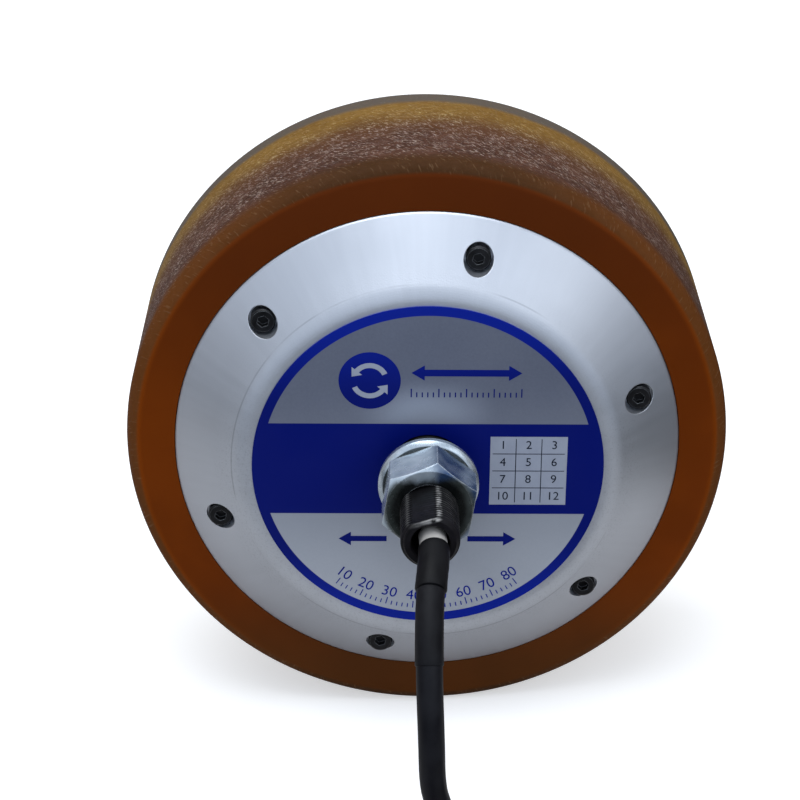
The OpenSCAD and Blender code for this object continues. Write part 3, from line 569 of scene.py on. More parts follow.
def urethane():
    f = Finish("castUrethane", roughness=0.5, Specular_IOR_Level=0.06, Subsurface_Weight=0.05,
               Subsurface_Scale=0.003, Subsurface_Radius=(1.0, 0.35, 0.08))
    r = f.radius()
    x, y, z = f.xyz()
    cloud = f.ramp(f.noise(38, 4), 0.3, 0.7)

    # The side faces: dark inside, painted brighter where light comes through the shoulders, with painted
    # shade towards the top and the bottom
    sides = f.ramp(abs(x), 0.015, 0.075)
    glow = f.ramp(r, 0.081, 0.0835) * (sides * 0.7 + 0.15)
    faceTone = f.blendColours(cloud, tone(103, 43, 2), tone(114, 49, 3))
    # painted shade towards the top
    faceTone = f.blendColours(f.ramp(z, 0.0, 0.07) * 0.7, faceTone, tone(80, 34, 6))
    faceTone = f.blendColours(glow * 0.75, faceTone, tone(140, 64, 2))
    # painted shade towards the bottom
    faceTone = f.blendColours(f.ramp(z, -0.035, -0.075) * 0.7, faceTone, tone(66, 42, 18))

    # The tread from front to back: painted olive sheen with painted orange glow at the sides, purple brown,
    # brown, amber painted light near the far edge, and grey at the last edge
    patches = f.ramp(f.noise(75, 4, f.stretched(1, 1.5, 1), 0.6), 0.34, 0.68)
    mottle = f.ramp(f.noise(1.0, 3, f.stretched(520, 900, 520), 0.6), 0.35, 0.65)
    treadTone = f.blendColours(patches * 0.5 + mottle * 0.5, tone(62, 37, 27), tone(94, 62, 48))
    wander = f.noise(60, 3) * 0.009 - 0.0045
    # painted sheen on the front edge: olive on top, painted orange glow at the sides
    paintedEdgeLight = f.blendColours(sides, tone(66, 40, 14), tone(104, 58, 18))
    treadTone = f.blendColours(f.ramp(y + wander, *tread["brown"]) * 0.7, treadTone, tone(94, 60, 35))
    # painted light: the amber band near the far edge
    amber = f.blendColours(mottle * 0.6 + patches * 0.4, tone(120, 86, 34), tone(142, 108, 50))
    treadTone = f.blendColours(f.ramp(y + wander, *tread["amber"]) * 0.85, treadTone, amber)
    treadTone = f.blendColours(f.ramp(y + wander * 0.5, *tread["olive"]) * 0.8, treadTone, paintedEdgeLight)
    treadTone = f.blendColours(f.ramp(y + wander * 0.4, *tread["grey"]) * 0.85, treadTone, tone(87, 82, 78))
    treadTone = f.blendColours(f.ramp(y, *tread["rear"]) * 0.85, treadTone, tone(104, 58, 22))

    # Fine pale scratches that cross the tread at a slant, from the last grinding
    arc = x.angleWith(z) * (tread["radius"] * mm)
    along = (arc - y * tread["slant"]) * 290
    across = (y + arc * tread["slant"]) * 980
    slanted = f.node("ShaderNodeCombineXYZ", inputs={0: along, 1: across, 2: 0.0})
    dashField = f.noise(1.0, 2, slanted, 0.55)
    crackle = f.ramp(f.cellEdges(0.85, slanted), 0.1, 0.02) * f.ramp(y, 0.0445, 0.051)
    crackle = crackle * f.ramp(f.noise(1.0, 2, f.stretched(330, 700, 330)), 0.44, 0.6)
    streaks = f.ramp(dashField, 0.575, 0.7).most(crackle * 0.6)
    streaks = streaks * f.ramp(f.noise(150, 3), 0.3, 0.6, 0.4, 1.0)
    fade = f.ramp(y, 0.039, 0.0495, 0.32, 1.0) * f.ramp(y, 0.09, 0.076, 0.18, 1.0)
    fade = fade * f.ramp(y, 0.0905, 0.089)
    scratched = f.blendColours(f.ramp(y, 0.066, 0.08), tone(198, 174, 160), tone(208, 180, 128))
    scratched = f.blendColours(f.ramp(y, 0.0475, 0.0425), scratched, tone(150, 116, 84))
    treadTone = f.blendColours(streaks * fade * 0.7, treadTone, scratched)

    onTread = f.ramp(r, 0.0822, 0.0834)
    f.feed("Base Color", f.blendColours(onTread, faceTone, treadTone))
    f.feed("Roughness", 0.44 + onTread * (0.16 - streaks * 0.25))
    height = (dashField * 0.7 + streaks * 0.3 + mottle * 0.4) * onTread * fade + f.noise(240, 3) * 0.1
    f.feed("Normal", f.bump(height, 0.5, 0.0006))
    return f


def buildTyre():
    t = tread
    r, s, inner = t["radius"], t["shoulder"], t["rimRadius"] + t["rimGap"]
    profile = [(inner, t["front"])]
    profile += arcPoints(r - s, t["front"] + s, s, -90, 0, 10)
    profile += [(r, t["front"] + s + (t["back"] - t["front"] - 2 * s) * i / 8) for i in range(1, 8)]
    profile += arcPoints(r - s, t["back"] - s, s, 0, 90, 10)
    profile += [(inner, y) for y in (t["back"], 93.5, 83.7, 78.7, 71.5, 66.5, 59.2, 54.2, 44.5)]
    obj = spinRound("tyreTread", profile, 256, closed=True)
    smooth(obj, 30)
    paint(obj, urethane())
    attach(obj, "wheel")
    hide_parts("tyre")


buildTyre()
print("tyre ready")

# Finishes for the CAD nodes that stay

def innerAluminium():
    f = Finish("turnedAluminium", metallic=0.9, roughness=0.36)
    fine, edge = f.noise(2600, 2), 0.0004
    mottled = f.ramp(f.noise(18, 4), 0.3, 0.7) * 0.7 + f.noise(150, 3) * 0.3
    colour = f.blendColours(mottled, tone(150, 153, 158), tone(190, 192, 196))
    # painted highlights along the sharp edges
    f.feed("Base Color", f.blendColours(f.paintedGlintEdges(edge) * 0.6, colour, tone(232, 236, 242)))
    f.feed("Roughness", f.ramp(f.noise(70, 4), 0.3, 0.7, 0.32, 0.41) + fine * 0.03)
    f.feed("Normal", f.bump(fine, 0.08, 0.00005, f.roundedEdges(edge)))
    return f


# Turned, then blasted: fine dots on the rounded shoulder, faint streaks from the middle out on the cone
cover = {
    "shoulderInner": 0.049,
    "shoulderOuter": 0.0585,
    "toolMark": 0.0553,
    "toolMarkWidth": 0.00012,
}


def coverAluminium():
    f = Finish("bluishSatinCover", metallic=0.92, roughness=0.4)
    r = f.radius()
    x, _, z = f.xyz()
    outward = f.node("ShaderNodeCombineXYZ", inputs={0: x / r * 26, 1: r * 30, 2: z / r * 26})
    streaks = f.noise(1.0, 3, outward, 0.55)
    dots = f.noise(2100, 2)
    broad = f.ramp(f.noise(20, 4), 0.3, 0.7)
    shoulder = f.ramp(r, cover["shoulderInner"] - 0.002, cover["shoulderInner"] + 0.001)
    shoulder = shoulder * f.ramp(r, cover["shoulderOuter"] + 0.004, cover["shoulderOuter"] - 0.002)
    mark = f.ramp(abs(r - cover["toolMark"]), cover["toolMarkWidth"] * 2, cover["toolMarkWidth"])
    mark = mark * f.ramp(f.noise(30, 2), 0.42, 0.55)
    colour = f.blendColours(broad * 0.5 + streaks * 0.4, tone(190, 194, 202), tone(211, 215, 223))
    pits = shoulder * f.ramp(dots, 0.5, 0.72) * f.ramp(z, 0.035, 0.0, 0.06, 0.25)
    colour = f.blendColours(pits, colour, tone(150, 154, 162))
    colour = f.blendColours(mark * 0.35, colour, tone(120, 124, 134))
    # painted highlights along the sharp edges
    colour = f.blendColours(f.paintedGlintEdges(0.0003) * 0.7, colour, tone(240, 243, 248))
    f.feed("Base Color", colour)
    f.feed("Roughness", f.ramp(streaks, 0.3, 0.7, 0.38, 0.41) + shoulder * 0.03)
    height = dots * (shoulder * 0.8 + 0.12) + streaks * 0.02
    f.feed("Normal", f.bump(height, 0.3, 0.00012, f.roundedEdges(0.0003)))
    return f


def steelFinish(name, dark, pale, rough, metallic=1.0, edge=0.0003, scale=260, brightEdges=0.0):
    f = Finish(name, metallic=metallic, roughness=rough)
    mottled = f.mottle(scale)
    colour = f.blendColours(mottled, dark, pale)
    # painted highlights along the sharp edges
    if brightEdges:
        paintedGlint = f.paintedGlintEdges(edge * 1.3) * f.ramp(f.noise(600, 3), 0.3, 0.6, 0.4, 1.0)
        colour = f.blendColours(paintedGlint * brightEdges, colour, tone(236, 242, 248))
    f.feed("Base Color", colour)
    f.roughen(scale * 1.7, rough - 0.06, rough + 0.09)
    f.feed("Normal", f.bump(f.noise(scale * 6, 3), 0.1, 0.00008, f.roundedEdges(edge)))
    return f


def plainFinish(name, dark, pale, rough):
    f = Finish(name, roughness=rough)
    f.feed("Base Color", f.blendColours(f.ramp(f.noise(400, 4), 0.3, 0.7), dark, pale))
    f.roughen(240, rough - 0.06, rough + 0.06)
    f.feed("Normal", f.bump(f.noise(1600, 2), 0.1, 0.0001))
    return f


def copperWinding():
    f = Finish("enamelledCopper", metallic=0.9, roughness=0.32)
    turnsAcross = f.node("ShaderNodeTexWave", {"wave_type": "BANDS", "bands_direction": "Y"},
                         {"Vector": f.place(), "Scale": 260.0, "Distortion": 0.6, "Detail": 1.0})
    rows = (f.radius() * 9000).sine()
    f.feed("Base Color", f.blendColours(f.noise(500, 3), tone(120, 52, 22), tone(176, 92, 46)))
    f.roughen(700, 0.25, 0.42)
    f.feed("Normal", f.bump(rows * 0.5 + turnsAcross * 0.3, 0.6, 0.0003))
    return f


def laminatedSteel():
    f = Finish("laminatedSteel", metallic=0.9, roughness=0.42)
    sheets = (f.xyz()[1] * 12566).sine()
    f.feed("Base Color", f.blendColours(f.ramp(sheets, -0.9, 0.6), tone(70, 74, 82), tone(128, 132, 140)))
    f.feed("Normal", f.bump(sheets, 0.4, 0.0001))
    return f


def solderMask():
    f = Finish("solderMask", roughness=0.35, Specular_IOR_Level=0.5)
    track = f.ramp(abs((f.radius() * 700).wrap(1) - 0.5), 0.22, 0.3) * f.ramp(f.noise(90, 1), 0.45, 0.5)
    f.feed("Base Color", f.blendColours(track, tone(22, 78, 44), tone(34, 104, 58)))
    f.feed("Normal", f.bump(track, 0.3, 0.00005))
    return f


# Zinc on the nut, with painted light: a painted bluish reflection on the right, a painted dark reflection
# on the front face with painted shadow round the bore, painted shadow on the back bevel, and painted
# highlights at the edges
nutZinc = {"frontFace": 0.0009, "backBevel": 0.0119, "edge": 0.0005}


def nutFinish():
    f = Finish("nutZinc", metallic=0.6, roughness=0.22)
    r = f.radius()
    x, y, z = f.xyz()
    mottled = f.mottle(160)
    colour = f.blendColours(mottled, tone(178, 192, 204), tone(216, 226, 234))
    # painted reflection, bluish and darker, on the right side
    bluish = f.ramp(x, 0.0, 0.0035) * f.ramp(f.noise(130, 2), 0.25, 0.6, 0.55, 1.0)
    colour = f.blendColours(bluish, colour, tone(50, 75, 112))
    # painted dark reflection on the front face; painted shadow on the back bevel
    front = f.ramp(y, nutZinc["frontFace"], 0.0) * f.ramp(z + f.noise(240, 3) * 0.004, 0.0125, 0.0095)
    back = f.ramp(y, nutZinc["backBevel"], nutZinc["backBevel"] + 0.0004)
    dark = f.blendColours(mottled, tone(56, 62, 60), tone(88, 95, 94))
    # painted shadow round the bore
    dark = f.blendColours(f.ramp(r, 0.0114, 0.0092) * 0.9, dark, tone(15, 17, 18))
    colour = f.blendColours(front.most(back * 0.9), colour, dark)
    # painted highlights along the edges
    paintedGlint = f.paintedGlintEdges(nutZinc["edge"] * 1.2) * f.ramp(f.noise(700, 3), 0.3, 0.55, 0.3, 1.0)
    colour = f.blendColours(paintedGlint * 0.75, colour, tone(232, 238, 244))
    f.feed("Base Color", colour)
    f.roughen(270, 0.18, 0.3)
    f.feed("Normal", f.bump(f.noise(900, 3), 0.12, 0.0001, f.roundedEdges(nutZinc["edge"])))
    return f


# The washer under the nut: a flat face painted dark with the nut's shadow, inside a bright bevel
washer = {"bore": 8.25, "radius": 14.0, "front": 13.0, "back": 16.0, "bevel": 1.15, "rounding": 0.25}


def washerFinish():
    f = Finish("washerZinc", metallic=0.85, roughness=0.24)
    mottled = f.mottle(260)
    colour = f.blendColours(mottled, tone(176, 188, 198), tone(212, 220, 228))
    # painted shadow of the nut on the flat face inside the bevel
    bevelFrom = washer["radius"] - washer["bevel"]
    flat = f.ramp(f.radius(), bevelFrom * mm, (bevelFrom - 0.25) * mm)
    dark = f.blendColours(mottled, tone(44, 50, 50), tone(66, 74, 76))
    colour = f.blendColours(flat * 0.9, colour, dark)
    f.feed("Base Color", colour)
    f.roughen(440, 0.2, 0.32)
    f.feed("Normal", f.bump(f.noise(1500, 3), 0.1, 0.00008))
    return f


def buildWasher():
    r, c, k = washer["radius"], washer["bevel"], washer["rounding"]
    bore, front, back = washer["bore"], washer["front"], washer["back"]
    profile = [(bore, front + c * 0.3), (bore + c * 0.3, front), (r - c - k, front), (r - c + k, front + k),
               (r - k, front + c * 0.75), (r, front + c), (r, back - 0.4), (r - 0.4, back), (bore, back)]
    obj = spinRound("axleWasher", profile, 96, closed=True)
    smooth(obj, 40)
    paint(obj, finishes["washer"])
    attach(obj, "stator")
    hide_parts("axle_washer")


# The axle's free end: a cut thread with one flat, worn bright along the flat's edges
axle = {
    "front": -19.0,
    "threadEnd": 0.4,
    "hidden": 16.0,
    "shaftFrom": 15.0,
    "radius": 8.0,
    "depth": 0.78,
    "pitch": 1.25,
    "rowsPerTurn": 8,
    "core": 7.5,
    "bore": 5.2,
    "chamfer": 1.1,
    "boreChamfer": 0.3,
    "flatAway": 6.6,
    "flatAngle": 105.0,
    "sides": 160,
}


def axleSteel():
    f = Finish("blackOxideAxle", metallic=0.08, roughness=0.42, Specular_IOR_Level=0.14)
    r = f.radius()
    x, y, z = f.xyz()
    a = math.radians(axle["flatAngle"])
    away = x * math.cos(a) + z * math.sin(a)
    beside = x * math.sin(a) - z * math.cos(a)
    mottled = f.mottle(320)
    colour = f.blendColours(mottled, tone(14, 13, 15), tone(27, 25, 29))
    # painted shade: darker towards the nut
    colour = f.blendColours(f.ramp(y, -0.012, -0.003) * 0.65, colour, tone(7, 8, 8))
    outside = f.ramp(y, axle["threadEnd"] * mm, -0.001)
    patchy = f.ramp(f.noise(420, 4), 0.3, 0.55)
    flatEdge = f.ramp(away, 0.0058, 0.0066) * f.ramp(r, 0.0075, 0.0079) * outside
    rightEdge = flatEdge * f.ramp(beside, 0.0, 0.002) * patchy * f.ramp(y, 0.0, -0.008, 0.4, 1.0)
    frontEdge = f.ramp(y, -0.0181, -0.0186) * f.ramp(away, 0.0054, 0.0061) * patchy
    frontEdge = frontEdge * f.ramp(beside, -0.005, 0.003)
    crest = f.ramp(r, 0.0078, 0.00799) * f.ramp(f.noise(500, 4), 0.42, 0.66) * outside
    brightEdges = (rightEdge * 0.9).most(frontEdge * 0.8).most(flatEdge * 0.15).most(crest * 0.08)
    f.feed("Base Color", f.blendColours(brightEdges, colour, tone(176, 174, 172)))
    f.roughen(540, 0.36, 0.5)
    f.feed("Normal", f.bump(f.noise(1500, 3) + f.noise(260, 2) * 0.5, 0.12, 0.0001))
    return f


# A turned thread whose crest climbs one pitch a turn; its seam lies on the flat, which takes it away
def buildAxle():
    v = axle
    rows = [v["front"] + v["pitch"] / v["rowsPerTurn"] * i
            for i in range(int((v["threadEnd"] - v["front"]) / v["pitch"] * v["rowsPerTurn"]) + 1)]
    rings = [(y, True) for y in rows]
    rings += [(v["threadEnd"], v["core"]), (v["hidden"], v["core"]), (v["hidden"], v["bore"]),
              (v["front"] + v["boreChamfer"], v["bore"]), (v["front"], v["bore"] + v["boreChamfer"])]
    points = []
    sides = v["sides"]
    for y, r in rings:
        for k in range(sides):
            turn = k / sides
            radius = r
            if r is True:
                phase = (y / v["pitch"] - turn) % 1.0
                tooth = min(1.0, max(0.0, 1.35 - abs(phase - 0.5) * 3.4))
                radius = v["radius"] - v["depth"] * (1 - tooth)
                radius = min(radius, v["radius"] - v["chamfer"] + (y - v["front"]) * 0.9)
            a = math.radians(v["flatAngle"]) + 2 * math.pi * turn
            points.append((radius * math.cos(a), y, radius * math.sin(a)))
    stub = meshPiece("axleThread", points, ringFaces(len(rings), sides, True))
    cleanMesh(stub, 1e-7)
    a = math.radians(v["flatAngle"])
    outward = Vector((math.cos(a), 0, math.sin(a)))
    openMesh(stub)
    bpy.ops.mesh.bisect(plane_co=outward * v["flatAway"] * mm, plane_no=outward, clear_outer=True)
    bpy.ops.mesh.edge_face_add()
    closeMesh()
    smooth(stub, 28)

    rest = copyNode("axle", "axleShaft")
    openMesh(rest)
    bpy.ops.mesh.bisect(plane_co=(0, v["shaftFrom"] * mm, 0), plane_no=(0, 1, 0), clear_inner=True)
    bpy.ops.mesh.bridge_edge_loops()
    closeMesh()
    smooth(rest, 30)
    for piece in (stub, rest):
        paint(piece, finishes["axle"])
        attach(piece, "stator")
        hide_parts("axle")


def copyNode(node, name):
    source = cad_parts[node]
    obj = bpy.data.objects.new(name, source.data.copy())
    obj.matrix_world = source.matrix_world
    bpy.context.scene.collection.objects.link(obj)
    settle(obj)
    cleanMesh(obj, 1e-6)
    return obj


finishes = {
    "cover": coverAluminium(),
    "innerAluminium": innerAluminium(),
    "blackScrew": steelFinish("blackOxideScrew", tone(16, 16, 18), tone(32, 32, 35), 0.34, 0.6,
                              edge=0.0002, brightEdges=0.25),
    "zinc": steelFinish("brightZinc", tone(168, 182, 194), tone(206, 216, 224), 0.27,
                        edge=0.0005, scale=160, brightEdges=0.7),
    "washer": washerFinish(),
    "ground": steelFinish("groundSteel", tone(132, 134, 140), tone(178, 180, 186), 0.28),
    "magnet": steelFinish("nickelMagnet", tone(120, 122, 128), tone(160, 162, 168), 0.34),
    "axle": axleSteel(),
    "nut": nutFinish(),
    "copper": copperWinding(),
    "core": laminatedSteel(),
    "insulator": plainFinish("glassFilledNylon", tone(196, 188, 166), tone(216, 210, 190), 0.5),
    "board": solderMask(),
    "rubber": plainFinish("nitrileRubber", tone(20, 20, 22), tone(34, 34, 38), 0.6),
    "wireRed": plainFinish("phaseWire", tone(132, 30, 24), tone(160, 44, 34), 0.4),
    "wireGrey": plainFinish("sensorWire", tone(58, 58, 62), tone(76, 76, 82), 0.42),
    "cage": plainFinish("ballCageNylon", tone(186, 160, 112), tone(206, 180, 132), 0.45),
    "potting": plainFinish("pottingResin", tone(186, 186, 188), tone(208, 208, 210), 0.4),
}
nodeFinish = {
    "front_cover": "cover", "rear_cover": "cover", "rim_shell": "innerAluminium", "rotor_yoke": "ground",
    "rotor_magnets": "magnet", "front_cover_screws": "blackScrew", "rear_cover_screws": "blackScrew",
    "shaft_seal": "rubber", "front_bearing_outer_race": "ground", "front_bearing_inner_race": "ground",
    "front_bearing_balls": "zinc", "front_bearing_cage": "cage", "front_bearing_shields": "ground",
    "rear_bearing_outer_race": "ground", "rear_bearing_inner_race": "ground", "rear_bearing_balls": "zinc",
    "rear_bearing_cage": "cage", "rear_bearing_shields": "ground", "preload_washer": "ground",
    "encoder_magnet_ring": "magnet", "stator_hub": "innerAluminium", "hub_key": "ground",
    "stator_core": "core", "front_insulator": "insulator", "rear_insulator": "insulator",
    "stator_coils": "copper", "encoder_board": "board", "board_standoffs": "zinc", "board_screws": "zinc",
    "phase_leads": "wireRed", "sensor_lead": "wireGrey", "inner_lead": "rubber", "bore_potting": "potting",
    "axle_nut": "nut",
}
for node, finish in nodeFinish.items():
    paint(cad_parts[node], finishes[finish])
print("node finishes ready")

buildWasher()
buildAxle()
print("axle and washer ready")

# The round label: a printed film with a blue ring and band, and plain marks
label = {
    "front": 24.5,
    "ringInner": 46.7,
    "inkEdge": 0.05,
    "bandLow": -14.3,
    "bandHigh": 14.0,
    "turned": -2.4,
    "markLift": 0.04,
    "disc": {"centre": (-16.4, 27.2), "radius": 8.6},
    "arrow": {"left": -4.9, "right": 25.7, "height": 29.6, "thick": 2.0, "head": 4.6},
    "ruler": {"left": -4.9, "right": 25.7, "low": 22.2, "steps": 20,
              "tick": 1.5, "tall": 2.6, "width": 0.34},
    "turns": {"radius": 4.6, "thick": 1.5, "spans": ((25, 140), (205, 320))},
    "panel": {"left": 17.4, "right": 39.0, "low": -11.3, "high": 10.1, "columns": 3, "rows": 4,
              "line": 0.22, "margin": 0.7, "digit": 3.6},
    "lowArrows": {"inner": 11.5, "outer": 25.2, "height": -22.4, "thick": 1.7, "head": 4.4},
    "scale": {"radius": 41.2, "firstAngle": -125.0, "lastAngle": -55.0, "numbers": 8, "digit": 4.6,
              "tickInner": 44.0, "tickOuter": 45.3, "tickLonger": 0.9, "tickEvery": 2.0, "tickWidth": 0.3},
}


def labelInk(f, z):
    return f.blendColours(f.ramp(abs(z), 0.02, 0.046), tone(2, 18, 106), tone(8, 33, 146))


def labelFilm():
    f = Finish("printedLabelFilm", metallic=0.0, roughness=0.4, Specular_IOR_Level=0.12)
    x, _, z = f.xyz()
    t, soft = math.radians(label["turned"]), label["inkEdge"]
    across = z * math.cos(t) - x * math.sin(t)
    blue = f.ramp(f.radius(), (label["ringInner"] - soft) * mm, (label["ringInner"] + soft) * mm)
    band = f.ramp(across, (label["bandLow"] - soft) * mm, (label["bandLow"] + soft) * mm)
    band = band * f.ramp(across, (label["bandHigh"] + soft) * mm, (label["bandHigh"] - soft) * mm)
    ink = blue.most(band)
    silverGrain = f.noise(1400, 3)
    # painted reflection: the silver darker towards the top, lighter towards the bottom
    silver = f.blendColours(f.ramp(z, -0.042, 0.03), tone(192, 197, 206), tone(99, 105, 124))
    silver = f.blendColours(f.noise(40, 3) * 0.3 + silverGrain * 0.2, silver, tone(150, 156, 170))
    # A painted soft highlight above the nut
    paintedHighlight = f.ramp((x * x + (z - 0.018) ** 2 * 4).root(), 0.022, 0.002)
    silver = f.blendColours(paintedHighlight * 0.35, silver, tone(206, 214, 228))
    f.feed("Base Color", f.blendColours(ink, silver, labelInk(f, z)))
    f.feed("Metallic", (1 - ink) * 0.35)
    f.roughen(60, 0.32, 0.42)
    f.feed("Normal", f.bump(f.noise(160, 3) + silverGrain * 0.06, 0.05, 0.0002))
    return f


# Places on the label are (along the band, across it) in mm; x and z follow from the label's turn
def onLabel(a, b, lift=1):
    c, s = math.cos(math.radians(label["turned"])), math.sin(math.radians(label["turned"]))
    return (a * c - b * s, label["front"] - lift * label["markLift"], a * s + b * c)


def flatMark(name, outlines, lift=1):
    points, faces = [], []
    for outline in outlines:
        first = len(points)
        points += [onLabel(a, b, lift) for a, b in outline]
        faces.append(tuple(range(first, len(points))))
    obj = meshPiece(name, points, faces)
    openMesh(obj)
    bpy.ops.mesh.quads_convert_to_tris()
    closeMesh()
    faceFront(obj)
    return obj


def faceFront(obj):
    mesh = bmesh.new()
    mesh.from_mesh(obj.data)
    bmesh.ops.reverse_faces(mesh, faces=[f for f in mesh.faces if f.normal.y > 0])
    mesh.to_mesh(obj.data)
    mesh.free()


def bar(a0, b0, a1, b1):
    return [(a0, b0), (a1, b0), (a1, b1), (a0, b1)]


def arrowOutline(tail, tip, b, thick, head):
    way = 1 if tip > tail else -1
    neck, half = tip - way * head * 0.8, thick / 2
    return [(tail, b - half), (neck, b - half), (neck, b - head / 2), (tip, b), (neck, b + head / 2),
            (neck, b + half), (tail, b + half)]


# A bent arrow round a centre, from angle a0 to a1 in degrees
def turningArrow(centre, r, thick, a0, a1):
    cx, cy = centre
    body = arcPoints(cx, cy, r + thick / 2, a0, a1, 16) + arcPoints(cx, cy, r - thick / 2, a1, a0, 16)
    c, s = math.cos(math.radians(a1)), math.sin(math.radians(a1))
    long, wide = thick * 1.5, thick * 1.25
    head = [(cx + q * c, cy + q * s) for q in (r - wide, r + wide)]
    head.append((cx + r * c - long * s, cy + r * s + long * c))
    return [body, head]


def numberMark(text, a, b, size, turn=0.0):
    deselectAll()
    bpy.ops.object.text_add()
    obj = bpy.context.object
    obj.data.body = text
    obj.data.size = size * mm
    obj.data.align_x, obj.data.align_y = "CENTER", "CENTER"
    obj.data.resolution_u = 4
    bpy.ops.object.convert(target="MESH")
    obj = bpy.context.object
    spun = Matrix.Rotation(-math.radians(label["turned"] + turn), 4, "Y")
    place = Matrix.Translation(Vector(onLabel(a, b)) * mm)
    obj.matrix_world = place @ spun @ Matrix.Rotation(math.pi / 2, 4, "X")
    settle(obj)
    return obj


# Disc, straight arrows, plain ruler and the curved scale with its numbers
def blueMarks():
    disc, r, s = label["disc"], label["ruler"], label["scale"]
    up, low = label["arrow"], label["lowArrows"]
    shapes = [arcPoints(*disc["centre"], disc["radius"], 0, 354, 59)]
    middle = (up["left"] + up["right"]) / 2
    for end in (up["left"], up["right"]):
        shapes.append(arrowOutline(middle, end, up["height"], up["thick"], up["head"]))
    for i in range(r["steps"] + 1):
        a = r["left"] + (r["right"] - r["left"]) * i / r["steps"]
        height = r["tall"] if i % 5 == 0 else r["tick"]
        shapes.append(bar(a - r["width"] / 2, r["low"], a + r["width"] / 2, r["low"] + height))
    for way in (-1, 1):
        ends = (way * low["inner"], way * low["outer"])
        shapes.append(arrowOutline(*ends, low["height"], low["thick"], low["head"]))
    span, half, outer = s["lastAngle"] - s["firstAngle"], s["tickWidth"] / 2, s["tickOuter"]
    for i in range(round(span / s["tickEvery"]) + 1):
        a = math.radians(s["firstAngle"] + s["tickEvery"] * i)
        inner = s["tickInner"] - (s["tickLonger"] if i % 5 == 0 else 0.0)
        shapes.append([(q * math.cos(a) - w * math.sin(a), q * math.sin(a) + w * math.cos(a))
                       for q, w in ((inner, -half), (outer, -half), (outer, half), (inner, half))])
    pieces = [flatMark("blueMarks", shapes)]
    for i in range(s["numbers"]):
        turn = s["firstAngle"] + span * i / (s["numbers"] - 1)
        a, b = (s["radius"] * g(math.radians(turn)) for g in (math.cos, math.sin))
        pieces.append(numberMark(str(10 * (i + 1)), a, b, s["digit"], turn + 90))
    return pieces


# Turning arrows on the disc, and the panel
def paleMarks():
    t, p = label["turns"], label["panel"]
    arrows = []
    for span in t["spans"]:
        arrows += turningArrow(label["disc"]["centre"], t["radius"], t["thick"], *span)
    panel = bar(p["left"], p["low"], p["right"], p["high"])
    return [flatMark("paleMarks", arrows, 2), flatMark("palePanel", [panel], 1)]


# Lines and numbers on the panel
def darkMarks():
    p = label["panel"]
    width, height = (p["right"] - p["left"]) / p["columns"], (p["high"] - p["low"]) / p["rows"]
    half, margin = p["line"] / 2, p["margin"]
    upright = [p["left"] + width * i for i in range(1, p["columns"])]
    level = [p["low"] + height * i for i in range(1, p["rows"])]
    lines = [bar(a - half, p["low"] + margin, a + half, p["high"] - margin) for a in upright]
    lines += [bar(p["left"] + margin, b - half, p["right"] - margin, b + half) for b in level]
    pieces = [flatMark("darkMarks", lines, 2)]
    for i in range(p["columns"] * p["rows"]):
        a = p["left"] + width * (i % p["columns"] + 0.5)
        b = p["high"] - height * (i // p["columns"] + 0.5)
        number = numberMark(str(i + 1), a, b, p["digit"])
        number.data.transform(Matrix.Translation((0, -label["markLift"] * mm, 0)))
        pieces.append(number)
    return pieces


def markInk(name, darker=None, lighter=None):
    f = Finish(name, roughness=0.4, Specular_IOR_Level=0.12)
    colour = f.blendColours(f.noise(300, 3), darker, lighter) if darker else labelInk(f, f.xyz()[2])
    f.feed("Base Color", colour)
    return f


def buildMarks():
    pale = markInk("paleInk", tone(150, 156, 172), tone(164, 170, 184))
    dark = markInk("darkInk", tone(20, 24, 36), tone(30, 36, 52))
    for name, pieces, ink in (("labelBlueMarks", blueMarks(), markInk("blueInk")),
                              ("labelPaleMarks", paleMarks(), pale),
                              ("labelDarkMarks", darkMarks(), dark)):
        obj = joinPieces(pieces, name)
        faceFront(obj)
        paint(obj, ink)
        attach(obj, "wheel")


paint(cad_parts["label_plate"], labelFilm())
buildMarks()
print("label ready")

# Floor, backdrop and lamps

studio = {
    "floorSize": 6.0,
    "floorShown": 0.8,
    "floorGlow": 0.5,
    "glowBelow": (0.1, 0.097, 0.093, 1.0),
    "cardLeft": (0.48, 0.465, 0.452, 1.0),
    "cardRight": (0.07, 0.069, 0.068, 1.0),
    "cardFront": (0.02, 0.021, 0.022, 1.0),
    "cardFar": (0.8, 0.86, 0.95, 1.0),
    "skyDim": (0.44, 0.45, 0.47, 1.0),
    "skyLow": (0.225, 0.22, 0.22, 1.0),
    "skyBright": (0.795, 0.885, 1.015, 1.0),
    "brightFrom": (0.0, -0.88, 0.47),
    "brightEdge": (0.3, 0.8),
    "horizon": (-0.05, 0.5),
    # where each card takes over, and where the glow below starts and ends, in metres
    "rightFrom": (0.125, 0.21),
    "frontFrom": (-0.072, -0.172),
    "farFrom": (-0.32, -0.58),
    "glowFrom": (-0.1, 0.0),
    "glowTo": (0.24, 0.14),
    "topLamp": 8.6,
    "fillLamp": 1.5,
}


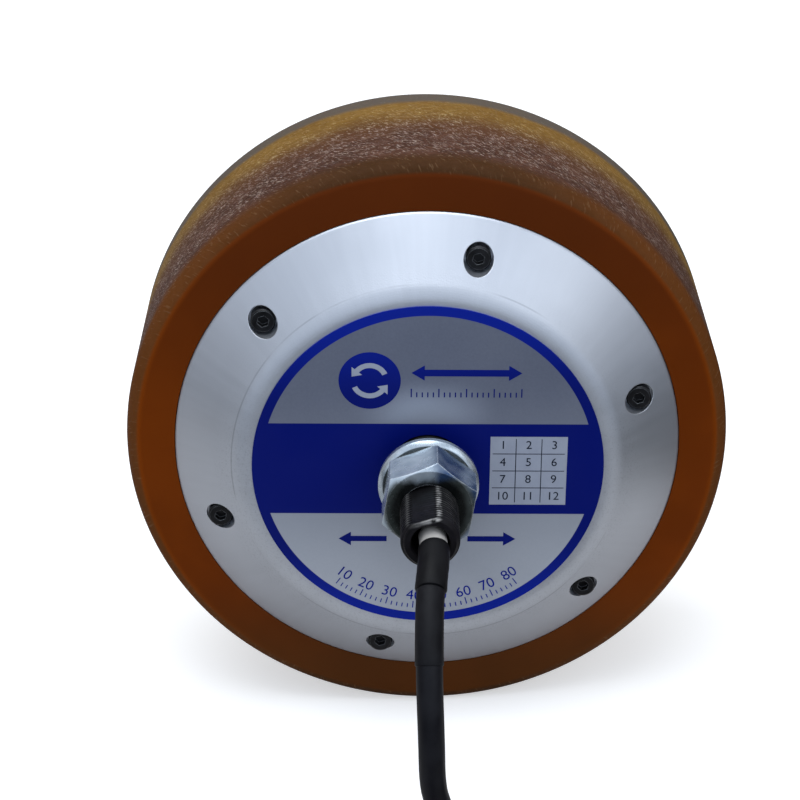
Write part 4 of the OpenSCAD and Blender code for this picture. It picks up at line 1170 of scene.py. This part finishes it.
# White where the camera sees it; the metal mirrors grey on the left, darker to the right and in front
def floorFinish():
    f = Finish("studioWhite", roughness=0.9, Specular_IOR_Level=0.0, Emission_Strength=1.0)
    x, y, _ = f.xyz()
    seen = f.node("ShaderNodeLightPath", output="Is Camera Ray")
    sideways = f.blendColours(f.ramp(x, *studio["rightFrom"]), studio["cardLeft"], studio["cardRight"])
    mirrored = f.blendColours(f.ramp(y, *studio["frontFrom"]), sideways, studio["cardFront"])
    mirrored = f.blendColours(f.ramp(y, *studio["farFrom"]), mirrored, studio["cardFar"])
    white = (studio["floorShown"],) * 3 + (1.0,)
    glow = (studio["floorGlow"],) * 3 + (1.0,)
    below = f.ramp(x, *studio["glowFrom"]) * f.ramp(x, *studio["glowTo"])
    lit = f.blendColours(below, (0, 0, 0, 1), studio["glowBelow"])
    f.feed("Base Color", f.blendColours(seen, mirrored, white))
    f.feed("Emission Color", f.blendColours(seen, lit, glow))
    return f


def buildWorld():
    world = bpy.data.worlds.new("softStudio")
    bpy.context.scene.world = world
    world.use_nodes = True
    w = Nodes(world.node_tree)
    way = w.node("ShaderNodeTexCoord", output="Generated")
    rise = w.node("ShaderNodeSeparateXYZ", None, {0: way}, 2)
    softbox = w.ramp(w.dot(way, studio["brightFrom"]), *studio["brightEdge"])
    sky = w.blendColours(w.ramp(rise, *studio["horizon"]), studio["skyLow"], studio["skyDim"])
    sky = w.blendColours(softbox, sky, studio["skyBright"])
    seen = w.node("ShaderNodeLightPath", output="Is Camera Ray")
    colour = w.blendColours(seen, sky, (1, 1, 1, 1))
    shade = w.node("ShaderNodeBackground", None, {"Color": colour, "Strength": 1.0})
    w.tree.links.new(shade.socket, w.tree.nodes.new("ShaderNodeOutputWorld").inputs[0])


def buildStudio():
    bpy.ops.mesh.primitive_plane_add(size=studio["floorSize"], location=(0, 0, lead["floor"] * mm))
    floor = bpy.context.object
    floor.name = "studioFloor"
    settle(floor)
    paint(floor, floorFinish())
    buildWorld()

    def lamp(name, place, aim, size, power, colour):
        data = bpy.data.lights.new(name, "AREA")
        data.shape, data.size, data.size_y = "RECTANGLE", size[0], size[1]
        data.energy, data.color = power, colour
        obj = bpy.data.objects.new(name, data)
        facing = (Vector(place) - Vector(aim)).to_track_quat("Z", "Y")
        obj.matrix_world = Matrix.Translation(place) @ facing.to_matrix().to_4x4()
        bpy.context.scene.collection.objects.link(obj)

    lamp("topSoftbox", (-0.1, -0.1, 1.1), (0, 0.04, 0), (1.1, 0.9), studio["topLamp"], (0.93, 0.97, 1.0))
    lamp("rightFill", (1.0, -0.9, 0.7), (0, 0.04, 0), (0.9, 0.6), studio["fillLamp"], (0.95, 0.98, 1.0))


buildStudio()
print("studio ready")
